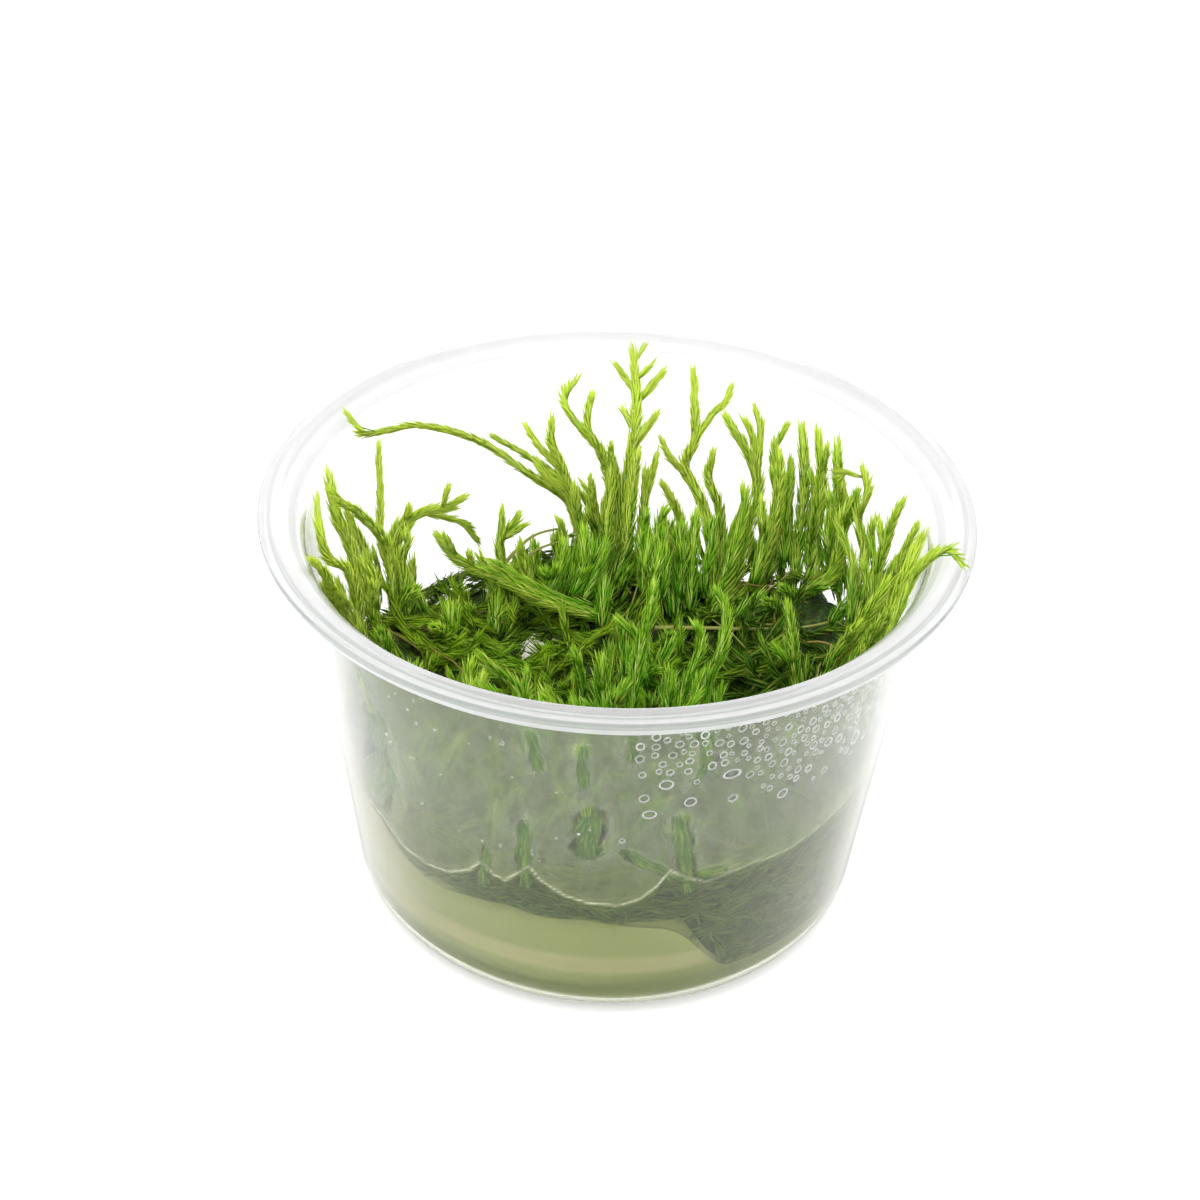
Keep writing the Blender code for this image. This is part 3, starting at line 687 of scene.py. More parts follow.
# The moss bed: a felt of old, dark stems on the gel, whose near-black is painted shade deep in
# the tangle, with runners that creep over it in every direction and turn their tips up. Each leaf
# is a keeled blade on a thin stem.
GOLDEN_TURN = math.radians(137.5)
STEM = 0.13 * MM
STEM_SPANS = 12
BED_LEVEL = 28.0  # mm
ROOT_SHARE = 0.58  # of the reach: how far from the path the leaves grow
LEAF_LENGTH = 3.6 * MM
LEAF_WIDTH = 0.48 * MM
LEAF_THICKNESS = 0.2 * MM
# Least and most, times the sizes above, of a leaf's length, width, lean and bow
LEAF_LENGTHS, LEAF_WIDTHS, LEAF_LEANS = (0.8, 1.15), (0.75, 1.2), (0.6, 1.25)
LEAF_BOWS = (-0.04, 0.13)
LEAN_LIMITS = (0.04, 0.6)  # the sine of a leaf's angle with its stem
FLATNESS = 0.55
STRIPES = 3  # lengthwise, of pale and dark leaves round a shoot
STRIPE_SHARE = 0.6  # of a leaf's chance of being pale
CURVE_STEPS = 24
NOTHING = 1e-9
LEAF_GAP = 0.12 * MM  # to the wall
WALL_TOP = 60 * MM
GRID_STEP = 1.0  # mm, of the chart of the bed's height
GRID_HALF = 44
GAP_LENGTH = 2.6  # how many times longer than wide the gaps in the felt are
# Where the felt is open down to the gel: x, y and half the width in mm
GAPS = [
    (-12.3, 16.5, 2.1), (-14.6, 10.6, 0.8), (-17.6, 24.5, 1.5), (-7.4, 24.2, 0.8),
    (-19.7, 14.2, 0.8), (9.8, 30.5, 1.4), (12.1, 26.2, 0.9), (-30.5, 36.0, 3.0),
    (-18.5, 38.5, 3.0), (15.2, 23.8, 0.8),
]


def leaf_blade(sides, rings, outline):
    """One leaf along +Z from 0 to 1 as arrays of points and triangles.

    The outline gives each ring's place along the leaf and its share of the half width.
    """
    bm = bmesh.new()
    bmesh.ops.create_uvsphere(bm, u_segments=sides, v_segments=rings, radius=1.0)
    levels = sorted({round(point.co.z, 4) for point in bm.verts})
    for point in bm.verts:
        place, share = outline[levels.index(round(point.co.z, 4))]
        spread = math.hypot(point.co.x, point.co.y)
        if spread > 0.001:
            point.co.x *= share / spread
            point.co.y *= share / spread
        point.co.z = place
    bmesh.ops.triangulate(bm, faces=bm.faces)
    bm.verts.index_update()
    points = np.array([point.co for point in bm.verts])
    triangles = np.array([[corner.index for corner in face.verts] for face in bm.faces])
    bm.free()
    return points, triangles


PLAIN_BLADE = leaf_blade(3, 2, [(0, 0), (0.38, 1), (1, 0)])
KEELED_BLADE = leaf_blade(4, 2, [(0, 0), (0.36, 1), (1, 0)])


def unit(vectors):
    return vectors / np.maximum(np.linalg.norm(vectors, axis=-1, keepdims=True), NOTHING)


def smooth_path(points, spacing):
    """Places at an even spacing along a smooth curve through the points."""
    points = np.array(points, dtype=float)
    spans = len(points) - 1
    stretches = []
    for span in range(spans):
        before, start = points[max(span - 1, 0)], points[span]
        end, after = points[span + 1], points[min(span + 2, spans)]
        t = np.linspace(0, 1, CURVE_STEPS, endpoint=span == spans - 1)[:, None]
        bend = (2 * before - 5 * start + 4 * end - after) * t
        bend = bend + (3 * (start - end) + after - before) * t * t
        stretches.append(start + 0.5 * t * (end - before + bend))
    curve = np.concatenate(stretches)
    along = np.concatenate([[0], np.cumsum(np.linalg.norm(np.diff(curve, axis=0), axis=1))])
    even = np.arange(0, along[-1], spacing)
    spots = np.stack([np.interp(even, along, curve[:, axis]) for axis in range(3)], axis=1)
    return spots, along[-1]


class Tangle:
    """Stems and leaves, gathered as arrays and joined into one piece."""

    def __init__(self, name, blade):
        self.name = name
        self.blade, self.blade_triangles = blade
        self.points, self.triangles, self.growth = [], [], []
        self.count = 0
        self.stems = bpy.data.curves.new(name + "_stems", "CURVE")
        self.stems.dimensions = "3D"
        self.stems.bevel_depth = STEM
        self.stems.bevel_resolution = 0
        self.stems.use_fill_caps = True

    def add(self, points, triangles, growth):
        self.points.append(points)
        self.triangles.append(triangles + self.count)
        self.growth.append(growth)
        self.count += len(points)

    def grow(self, path, reach, freshness, tone, faces, rng, thin=None):
        """Leaves in a spiral along a path.

        The reach is how far the leaves' tips stand off the path, faces is the way that the
        shoot's flatter side looks, and thin says which leaves are left out.
        """
        count = len(path)
        heading = unit(np.gradient(path, axis=0))
        side = unit(np.cross(heading, faces))
        depth = np.cross(heading, side)
        turn = np.arange(count) * GOLDEN_TURN + rng.uniform(0, math.tau)
        outward = np.cos(turn)[:, None] * side + np.sin(turn)[:, None] * depth
        flat = np.sqrt(np.cos(turn) ** 2 + (FLATNESS * np.sin(turn)) ** 2)
        length = LEAF_LENGTH * rng.uniform(*LEAF_LENGTHS, count)
        spread = (reach * flat)[:, None]
        lean = np.clip((1 - ROOT_SHARE) * spread[:, 0] / length, *LEAN_LIMITS)
        lean = (lean * rng.uniform(*LEAF_LEANS, count))[:, None]
        along = np.sqrt(1 - lean**2) * heading + lean * outward
        up = unit(outward - np.sum(outward * along, axis=1, keepdims=True) * along)
        across = np.cross(along, up)
        width = LEAF_WIDTH * rng.uniform(*LEAF_WIDTHS, count)
        bow = rng.uniform(*LEAF_BOWS, count) * length
        root = path + outward * spread * ROOT_SHARE
        blade = self.blade
        ahead = length[:, None] * blade[:, 2]
        aside = 0.5 * width[:, None] * blade[:, 0]
        over = 0.5 * LEAF_THICKNESS * blade[:, 1] + bow[:, None] * blade[:, 2] ** 2
        points = root[:, None]
        for way, far in ((along, ahead), (across, aside), (up, over)):
            points = points + way[:, None] * far[:, :, None]
        stripes = 0.5 + 0.5 * np.cos(STRIPES * turn + rng.uniform(0, math.tau))
        chance = STRIPE_SHARE * stripes + (1 - STRIPE_SHARE) * rng.random(count)
        growth = np.empty((count, len(blade), 4))
        growth[:, :, 0] = np.broadcast_to(freshness, count)[:, None]
        growth[:, :, 1] = chance[:, None]
        growth[:, :, 2] = blade[:, 2]
        growth[:, :, 3] = tone
        kept = np.ones(count, dtype=bool) if thin is None else ~thin(path)
        points, growth = points[kept], growth[kept]
        starts = np.arange(len(points))[:, None, None] * len(blade)
        self.add(
            points.reshape(-1, 3),
            (self.blade_triangles + starts).reshape(-1, 3),
            growth.reshape(-1, 4),
        )

    def add_stem(self, path, thickness=1.0):
        """A thin round stem along a path."""
        spots = path[:: max(1, len(path) // STEM_SPANS)]
        spots = np.concatenate([spots, path[-1:]])
        spline = self.stems.splines.new("POLY")
        spline.points.add(len(spots) - 1)
        radii = np.linspace(thickness, 0.5 * thickness, len(spots))
        for point, spot, radius in zip(spline.points, spots, radii):
            point.co = (*spot, 1)
            point.radius = radius

    def add_stems(self, freshness, tone):
        """Turns the stems' curve into triangles beside the leaves'."""
        holder = bpy.data.objects.new(self.name + "_stems", self.stems)
        bpy.context.collection.objects.link(holder)
        view = bpy.context.evaluated_depsgraph_get()
        mesh = bpy.data.meshes.new_from_object(holder.evaluated_get(view))
        points = np.empty(3 * len(mesh.vertices))
        mesh.vertices.foreach_get("co", points)
        mesh.calc_loop_triangles()
        triangles = np.empty(3 * len(mesh.loop_triangles), dtype=int)
        mesh.loop_triangles.foreach_get("vertices", triangles)
        growth = np.tile((freshness, 0.5, 0.0, tone), (len(mesh.vertices), 1))
        self.add(points.reshape(-1, 3), triangles.reshape(-1, 3), growth)
        bpy.data.objects.remove(holder)
        bpy.data.meshes.remove(mesh)

    def piece(self, material, slot, *nodes):
        """The joined piece, whose leaves lie against the wall where they would go through it."""
        points = np.concatenate(self.points)
        room = np.where(points[:, 2] < WALL_TOP, inner_radius(points[:, 2]) - LEAF_GAP, 1.0)
        inwards = np.minimum(1, room / np.maximum(np.hypot(points[:, 0], points[:, 1]), LEAF_GAP))
        points[:, :2] *= inwards[:, None]
        triangles = np.concatenate(self.triangles)
        mesh = bpy.data.meshes.new(self.name)
        mesh.vertices.add(len(points))
        mesh.vertices.foreach_set("co", points.ravel())
        mesh.loops.add(3 * len(triangles))
        mesh.loops.foreach_set("vertex_index", triangles.ravel())
        mesh.polygons.add(len(triangles))
        mesh.polygons.foreach_set("loop_start", np.arange(0, 3 * len(triangles), 3))
        mesh.update(calc_edges=True)
        mesh.shade_smooth()
        colours = mesh.color_attributes.new("growth", "FLOAT_COLOR", "POINT")
        colours.data.foreach_set("color", np.concatenate(self.growth).ravel())
        mesh.materials.append(material)
        made = bpy.data.objects.new(self.name, mesh)
        bpy.context.collection.objects.link(made)
        settle(made, slot, *nodes)
        return made


# How much of a leaf's youth comes from its shoot, from chance, from its own tip and from patches
YOUTH_SHOOT, YOUTH_CHANCE, YOUTH_TIP, YOUTH_PATCH = 0.8, 0.5, 0.3, 0.6
YOUTH_START = 0.62
PATCH_SCALE = 260
TONE_CHANCE, TONE_TIP, TONE_START = 0.6, 0.3, 0.4
STREAKS = (0.62, 0.84, 0.05)  # the chances of a pale leaf: from, to, and how soft
STREAK_YOUNG, STREAK_OLD = 0.4, 0.1
WITHERED, WITHERED_UNDER = (0.90, 0.96), (0.65, 0.3)
TIP_DARK, TIP_DARK_FROM = 0.75, (1.1, 1.5)
TIP_COLOUR = (0.13, 0.20, 0.05, 1)
MOSS_ROUGHNESS = 0.5
MOSS_SHINE = 0.15
LIT_YOUNG, LIT_OLD = 0.35, 0.2  # how much light comes through a leaf


def moss(name, deep, middle, fresh, pale, old, glow):
    """A moss finish: old green at a shoot's foot, fresh green at its tip, with pale streaks."""
    finish = Finish(name)
    growth = finish.attribute("growth")
    freshness, chance, along = finish.channels(growth)
    tone = Signal(finish, growth.socket.node.outputs["Alpha"])
    patches = finish.noise(finish.place(), PATCH_SCALE)
    youth = freshness * YOUTH_SHOOT + chance * YOUTH_CHANCE + along * YOUTH_TIP
    youth = (youth + patches * YOUTH_PATCH - YOUTH_START).ramp(0, 1)
    yellow = (tone + chance * TONE_CHANCE + along * TONE_TIP - TONE_START).ramp(0, 1)
    colour = finish.blend(youth, deep, finish.blend(yellow, middle, fresh))
    streaks = chance.band(*STREAKS) * (youth * STREAK_YOUNG + STREAK_OLD)
    colour = finish.blend(streaks, colour, pale)
    withered = chance.ramp(*WITHERED) * freshness.ramp(*WITHERED_UNDER)
    colour = finish.blend(withered, colour, old)
    colour = finish.blend(freshness.ramp(*TIP_DARK_FROM) * TIP_DARK, colour, TIP_COLOUR)
    skin = finish.skin(colour, MOSS_ROUGHNESS, {"Specular IOR Level": MOSS_SHINE})
    return finish.done(finish.mixed(youth * LIT_YOUNG + LIT_OLD, skin, finish.backlight(glow)))


OLD_MOSS = moss(
    "old_moss",
    deep=(0.045, 0.12, 0.005, 1),
    middle=(0.17, 0.42, 0.01, 1),
    fresh=(0.42, 0.62, 0.03, 1),
    pale=(0.58, 0.68, 0.16, 1),
    old=(0.42, 0.30, 0.08, 1),
    glow=(0.50, 0.72, 0.06, 1),
)


def height_chart():
    """The CAD bed's height in mm on a square grid."""
    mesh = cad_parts["moss_bed"].data
    skin = BVHTree.FromPolygons(
        [point.co for point in mesh.vertices], [face.vertices for face in mesh.polygons]
    )
    spots = np.arange(-GRID_HALF, GRID_HALF + GRID_STEP, GRID_STEP)
    chart = np.full((len(spots), len(spots)), BED_LEVEL)
    for row, x in enumerate(spots):
        for column, y in enumerate(spots):
            hit = skin.ray_cast(Vector((x * MM, y * MM, 0.1)), Vector((0, 0, -1)))[0]
            if hit:
                chart[row, column] = hit.z / MM
    return chart


CHART = height_chart()


def bed_top(x, y):
    """The bed's height there, with every length in mm."""
    across = np.clip((np.asarray(x) + GRID_HALF) / GRID_STEP, 0, len(CHART) - 1.001)
    deep = np.clip((np.asarray(y) + GRID_HALF) / GRID_STEP, 0, len(CHART) - 1.001)
    row, column = across.astype(int), deep.astype(int)
    right, far = across - row, deep - column
    near = CHART[row, column] * (1 - right) + CHART[row + 1, column] * right
    beyond = CHART[row, column + 1] * (1 - right) + CHART[row + 1, column + 1] * right
    return near * (1 - far) + beyond * far


def in_gap(x, y):
    """Whether a place lies in one of the gaps of the felt."""
    inside = np.zeros(np.shape(x), dtype=bool)
    for centre_x, centre_y, half in GAPS:
        inside |= np.hypot((x - centre_x) / half, (y - centre_y) / (half * GAP_LENGTH)) < 1
    return inside


FELT_RINGS = 30
FELT_DEPTH = 3.0  # mm below the bed's top
FELT_ROOM = 1.7  # mm to the wall
LUMP_HEIGHT = 2.2  # mm
LUMP_SIZE = 2.4
FELT_OVER_GEL = 0.35  # mm from the gel to the felt's underside
FELT_LEAST = 0.4  # mm of the felt's thickness
# Between the felt's strands its near-black is painted shade; its green and brown are the old stems'
# own
FELT_PAINTED_SHADE = (0.016, 0.038, 0.004, 1)
FELT_GREEN = (0.065, 0.14, 0.012, 1)
FELT_BROWN = (0.08, 0.055, 0.012, 1)
FELT_AT_WALL = (0.035, 0.08, 0.012, 1)
AT_WALL_RADII = (33 * MM, 36 * MM)
STRAND_SCALE, BROWN_SCALE = 1100, 300
STRANDS, BROWNED, FELT_KEPT = (0.40, 0.64), (0.5, 0.7), (0.3, 0.6)
BROWN_SHARE = AT_WALL_SHARE = 0.6
FELT_RELIEF = 0.6 * MM
FELT_ROUGHNESS = 0.8
FELT_SHARP = 80  # degrees


def felt():
    """The matted old stems in one closed body, lumpy above and shaped to the gel below, with
    painted shade between its strands.
    """
    edge = inner_radius(BED_LEVEL * MM) / MM - FELT_ROOM
    spread = np.linspace(0, 1, FELT_RINGS)
    above = [(edge * out, 1, 0) for out in spread[::-1]]
    bm = turned([(edge * out, 0, 0) for out in spread] + above)
    layer = bm.verts.layers.float_color.new("felt")
    for point in bm.verts:
        x, y = point.co.x / MM, point.co.y / MM
        height = gel_surface(x, y) + FELT_OVER_GEL
        if point.co.z > 0.5 * MM:
            lump = LUMP_HEIGHT * noise.noise(Vector((x, y, 0)) / LUMP_SIZE)
            height = max(float(bed_top(x, y)) - FELT_DEPTH + lump, height + FELT_LEAST)
        out = (inner_radius(height * MM) / MM - FELT_ROOM) / edge
        point.co = (point.co.x * out, point.co.y * out, height * MM)
        kept = 0.0 if in_gap(x, y) else 1.0
        point[layer] = (kept, kept, kept, 1)
    finish = Finish("felt")
    kept = finish.attribute("felt", "Fac").ramp(*FELT_KEPT)
    place = finish.place()
    across, deep, _ = finish.axes(place)
    at_wall = finish.radius(across, deep).ramp(*AT_WALL_RADII) * AT_WALL_SHARE
    strands = finish.noise(place, STRAND_SCALE, 4)
    browned = finish.noise(place, BROWN_SCALE).ramp(*BROWNED) * BROWN_SHARE
    # Painted shade between the strands, green on them
    colour = finish.blend(strands.ramp(*STRANDS), FELT_PAINTED_SHADE, FELT_GREEN)
    colour = finish.blend(browned, colour, FELT_BROWN)
    colour = finish.blend(at_wall, colour, FELT_AT_WALL)
    depths = {"Strength": 1.0, "Distance": FELT_RELIEF, "Height": strands}
    relief = finish.node("ShaderNodeBump", None, depths)
    skin = finish.skin(colour, FELT_ROUGHNESS, {"Alpha": kept, "Normal": relief})
    return finished("felt", bm, finish.done(skin), "old_moss", "moss_bed", sharp=FELT_SHARP)


RUNNERS = 340
PER_PIECE = 85
RUNNER_SEED = 5
RUNNER_STEP = 1.6  # mm
RUNNER_STEPS = (10, 19)
RUNNER_AREA = 36.5  # mm, the radius within which they start
RUNNER_LIMIT = 37.2  # mm, the radius at which they turn back
RUNNER_COVER = 3.6  # mm of felt over the deepest
RUNNER_LIFT = 8.0  # mm that the tips turn up at most
RUNNER_SUNK = 0.6
BEND_START, BEND_CHANGE, BEND_KEPT = 0.12, 0.14, 0.8
SLOW_SHARE, SLOW_PART, SLOW_LIFT = 0.5, (0.6, 1.0), 4
RUNNER_WAVE, RUNNER_WAVES = 0.5, 0.9
BED_SPACING = 0.2 * MM
RUNNER_REACH = (0.6, 1.05)
OPEN_SHARE = 0.3  # of a runner over the felt's gaps, where it is left out
DIM_RIGHT, DIM_FRONT, DIM = (8, 18), (-24, -12), 0.4
LEFT_SIDE = (-6, 12)  # mm to the left, from where the moss gets fresher
BED_FRESH, BED_COVERED, BED_TIP, BED_LEFT = 0.50, 0.15, 0.4, 0.35
BED_TONE, BED_TONE_LEFT = 0.9, 0.3


def runner(rng):
    """One runner's points in mm, and its depth: it creeps over the felt and turns its tip up."""
    steps = rng.integers(*RUNNER_STEPS)
    distance = RUNNER_AREA * math.sqrt(rng.random())
    around = rng.uniform(0, math.tau)
    x, y = distance * math.cos(around), distance * math.sin(around)
    heading = rng.uniform(0, math.tau)
    cover = rng.uniform(0.0, RUNNER_COVER)
    lift = rng.uniform(0, 1) ** 1.5 * RUNNER_LIFT
    bend = rng.normal(0, BEND_START)
    points = []
    for step in range(steps):
        share = step / (steps - 1)
        bend = BEND_KEPT * bend + rng.normal(0, BEND_CHANGE)
        heading += bend
        slow = 1 - SLOW_SHARE * rising(share, *SLOW_PART) * min(lift / SLOW_LIFT, 1)
        next_x = x + RUNNER_STEP * slow * math.cos(heading)
        next_y = y + RUNNER_STEP * slow * math.sin(heading)
        if math.hypot(next_x, next_y) > RUNNER_LIMIT:
            heading = math.atan2(-y, -x) + rng.uniform(-1.0, 1.0)
            next_x = x + RUNNER_STEP * math.cos(heading)
            next_y = y + RUNNER_STEP * math.sin(heading)
        x, y = next_x, next_y
        wave = RUNNER_WAVE * math.sin(RUNNER_WAVES * step + around * 7)
        height = float(bed_top(x, y)) - cover + wave - RUNNER_SUNK + lift * share**3
        points.append((x, y, height))
    return np.array(points), cover


def over_gap(path):
    """Which places of a path lie over a gap of the felt."""
    return in_gap(path[:, 0] / MM, path[:, 1] / MM)


def runners():
    rng = np.random.default_rng(RUNNER_SEED)
    for start in range(0, RUNNERS, PER_PIECE):
        tangle = Tangle(f"runners_{start // PER_PIECE + 1}", PLAIN_BLADE)
        for _ in range(PER_PIECE):
            points, cover = runner(rng)
            path, _ = smooth_path(points * MM, BED_SPACING)
            if over_gap(path).mean() > OPEN_SHARE:
                continue
            share = np.linspace(0, 1, len(path))
            x, y = path[:, 0] / MM, path[:, 1] / MM
            reach = rng.uniform(*RUNNER_REACH) * MM * (1 - 0.5 * share**3)
            dim = rising(x, *DIM_RIGHT) * rising(-y, *DIM_FRONT) * DIM
            left = rising(-x, *LEFT_SIDE)
            freshness = BED_FRESH - BED_COVERED * cover + BED_TIP * share**2 - dim
            freshness = np.clip(freshness + BED_LEFT * left, 0, 1)
            tone = rng.uniform(0, BED_TONE) + BED_TONE_LEFT * left.mean()
            tangle.grow(path, reach, freshness, tone, (0, 0, 1), rng, over_gap)
            tangle.add_stem(path)
        tangle.add_stems(freshness=0.1, tone=0.3)
        tangle.piece(OLD_MOSS, "old_moss", "moss_bed")


# Bare stems, pale or brown, lie over the bed: they are runners that have lost their leaves. The
# longest crosses the bed at the right.
BARE_STEMS = 44
BARE_SEED = 31
BARE_THICKNESS = 2.0  # times a leafy stem's
LONG_THICKNESS = 1.6
BARE_THINNEST = 0.6
BARE_LIFT = 0.5  # mm
STEM_TONES = (("pale_stems", 0.9), ("brown_stems", 0.1))
COVER_LIFT = 0.6  # of the felt over a runner's place
LONG_STEMS = [
    [(6.5, 14.5, 30.8), (13.4, 13.8, 31.6), (21, 12.6, 32.6), (28.4, 11.5, 34), (34, 11.8, 35.5)],
    [(-17, 27, 33.2), (-13, 29.5, 36.5), (-8.5, 30, 38)],
    [(-16, 26, 32.5), (-12, 28.5, 34.8), (-8, 29.5, 36)],
]


def bare_stems():
    rng = np.random.default_rng(BARE_SEED)
    pale = moss(
        "bare_stem",
        deep=(0.30, 0.24, 0.06, 1),
        middle=(0.40, 0.38, 0.08, 1),
        fresh=(0.55, 0.60, 0.18, 1),
        pale=(0.60, 0.60, 0.25, 1),
        old=(0.36, 0.20, 0.05, 1),
        glow=(0.50, 0.50, 0.15, 1),
    )
    for name, freshness in STEM_TONES:
        tangle = Tangle(name, PLAIN_BLADE)
        for _ in range(BARE_STEMS // 2):
            points, cover = runner(rng)
            points[:, 2] += COVER_LIFT * cover + BARE_LIFT
            path, _ = smooth_path(points * MM, BED_SPACING)
            tangle.add_stem(path, rng.uniform(BARE_THINNEST, 1.0) * BARE_THICKNESS)
        for points in LONG_STEMS if name == "pale_stems" else ():
            path, _ = smooth_path(np.array(points) * MM, BED_SPACING)
            tangle.add_stem(path, LONG_THICKNESS * BARE_THICKNESS)
        tangle.add_stems(freshness, freshness)
        tangle.piece(pale, "old_moss", "moss_bed")


# At the front right the old moss goes down to the floor beside the gel and is pressed to the
# wall. At the front left a band of it lies between the gel's edge and the wet line, and at the
# back it fills the bed's side.
PRESSED_SEED = 8
SUNKEN_SPACING = 0.22 * MM
# Each piece's name, number of stems, azimuths, lowest and highest height, and depths in mm
PRESSED_BANDS = [
    ("sunken_moss", 130, (15, 86), 7.6, None, (0.5, 2.2)),
    ("band_moss", 60, (-46, 16), 20.3, None, (0.5, 2.0)),
    ("back_moss", 75, (84, 312), 25.2, 28.6, (0.6, 2.4)),
]
GEL_SIDE = 16  # degrees from the front, where the gel's edge starts to sink
GEL_SLANT = 0.8  # degrees more for each mm down
UNDER_WET = 0.7  # mm
CLIMB_START, CLIMB_CHANGE, CLIMB_KEPT = 0.5, 0.35, 0.85
DEPTH_CHANGE = 0.2
PRESSED_STEPS = (8, 15)
PRESSED_REACH = 0.7 * MM
PRESSED_FRESH = (0.1, 0.6)
PRESSED_TONES = (0, 0.8)


def pressed_stem(rng, azimuths, floor, top, depths, steps):
    """A stem's points in mm, wandering round the cup just inside the wall.

    Where no top is given it stays under the wet line.
    """
    azimuth = rng.uniform(*azimuths)
    height = floor + ((top or wet_height(azimuth) / MM) - floor) * rng.random()
    depth = depths[0] + (depths[1] - depths[0]) * rng.random() ** 1.5
    way = rng.choice((-1, 1))
    climb = rng.normal(0, CLIMB_START)
    points = []
    for _ in range(steps):
        height = min(max(height, floor), (top or wet_height(azimuth) / MM) - UNDER_WET)
        side = GEL_SIDE + (GEL_TOP - height) * GEL_SLANT
        if floor < GEL_TOP - CLIMB and azimuth < side:
            azimuth, way = side + rng.uniform(0, 3), 1
        radius = inner_radius(height * MM) / MM - depth
        points.append(round_cup(azimuth, radius, height))
        climb = CLIMB_KEPT * climb + rng.normal(0, CLIMB_CHANGE)
        azimuth += way * math.degrees(RUNNER_STEP / radius) * math.cos(climb)
        height += RUNNER_STEP * math.sin(climb)
        depth = min(max(depth + rng.normal(0, DEPTH_CHANGE), depths[0]), depths[1])
    return np.array(points)


def pressed_moss():
    wet = moss(
        "wet_moss",
        deep=(0.085, 0.17, 0.010, 1),
        middle=(0.17, 0.34, 0.02, 1),
        fresh=(0.36, 0.54, 0.07, 1),
        pale=(0.46, 0.58, 0.18, 1),
        old=(0.30, 0.24, 0.10, 1),
        glow=(0.35, 0.50, 0.10, 1),
    )
    rng = np.random.default_rng(PRESSED_SEED)
    for name, count, azimuths, floor, top, depths in PRESSED_BANDS:
        tangle = Tangle(name, PLAIN_BLADE)
        for _ in range(count):
            steps = rng.integers(*PRESSED_STEPS)
            points = pressed_stem(rng, azimuths, floor, top, depths, steps)
            path, _ = smooth_path(points * MM, SUNKEN_SPACING)
            fresh, tone = rng.uniform(*PRESSED_FRESH), rng.uniform(*PRESSED_TONES)
            tangle.grow(path, PRESSED_REACH, fresh, tone, (0, 0, 1), rng)
            tangle.add_stem(path)
        tangle.add_stems(freshness=0.3, tone=0.3)
        tangle.piece(wet, "old_moss", "moss_bed")


felt()
runners()
bare_stems()
pressed_moss()

# The shoots: each is one stem of moss with its side branches, set all round with leaves that
# lie close along it and narrow it to a point.
SHOOT_SPACING = 0.1 * MM
FULLNESS = 1.14  # of the leaves' tips, over the solid shoot's radius
ROOT_DEPTH = 3.0  # mm that a shoot's stem goes down into the felt
POINT_LENGTH = 5.0 * MM  # of the part that narrows to the tip
WALL_ROOM = 1.1  # mm that a shoot's stem keeps from the wall
TIP_SHARE = 0.35  # of the shoot's radius at its tip
TIP_REACH = 0.15  # of the leaves' reach at the very point
LEAF_ROOM = 0.75  # of a leaf's length, kept free at the tip
YOUNG_TIP, YOUNG_FROM, YOUNG_TO = 0.7, 3.2 * MM, 1.2 * MM  # of half the shoots
BRANCH_SHARE = 0.62  # of the stem's radius there
TONE_SPREAD = 0.12
CURVE_SPACING = 0.1  # mm
COMPANION_SPOTS = 5
COMPANION_APART = (1.3, 2.4)  # mm
COMPANION_DRIFT = 0.7
COMPANION_OPENS = 0.12  # more with each spot
COMPANION_WIDTHS = (0.7, 1.0)  # of the shoot's radius
COMPANION_DARKER = 0.3
COMPANION_OLDER, COMPANION_TIP = 0.5, 0.85
NEW_MOSS = moss(
    "new_moss",
    deep=(0.09, 0.30, 0.008, 1),
    middle=(0.38, 0.76, 0.03, 1),
    fresh=(0.84, 0.95, 0.14, 1),
    pale=(0.92, 0.98, 0.38, 1),
    old=(0.44, 0.34, 0.08, 1),
    glow=(0.80, 0.96, 0.15, 1),
)


def leafy_shoot(tangle, points, radius, freshness, tone, rng):
    """One stem, or one branch, with its leaves. The points are in mm."""
    path, length = smooth_path(np.array(points) * MM, SHOOT_SPACING)
    share = np.linspace(0, 1, len(path))
    full = FULLNESS * radius * MM
    reach = full * (1 - (1 - TIP_SHARE) * share**3)
    narrowing = rising((1 - share) * length, 0, POINT_LENGTH)
    reach = reach * (TIP_REACH + (1 - TIP_REACH) * narrowing)
    ready = length - LEAF_ROOM * LEAF_LENGTH
    kept = max(4, int(len(path) * ready / length))
    fresh = freshness[0] + (freshness[1] - freshness[0]) * share
    young = rising(share * length, length - YOUNG_FROM, length - YOUNG_TO)
    fresh = fresh + rng.choice((0, YOUNG_TIP)) * young
    tangle.grow(path[:kept], reach[:kept], fresh[:kept], tone, (0, -1, 0), rng)
    tangle.add_stem(path[:kept], ROOT_SHARE * full * FLATNESS / STEM)


def companion(curve, share, rng):
    """A shorter shoot beside another, as points in mm, kept off the wall."""
    places = np.linspace(0, int(share * (len(curve) - 1)), COMPANION_SPOTS)
    turn, drift = rng.uniform(0, math.tau), rng.normal(0, COMPANION_DRIFT)
    points = []
    for step, spot in enumerate(curve[places.astype(int)]):
        away = rng.uniform(*COMPANION_APART) * (1 + COMPANION_OPENS * step)
        x = spot[0] + away * math.cos(turn + drift * step / (COMPANION_SPOTS - 1))
        y = spot[1] + away * math.sin(turn + drift * step / (COMPANION_SPOTS - 1))
        room = inner_radius(spot[2] * MM) / MM - WALL_ROOM
        inwards = min(1, room / math.hypot(x, y))
        points.append((x * inwards, y * inwards, spot[2]))
    return points


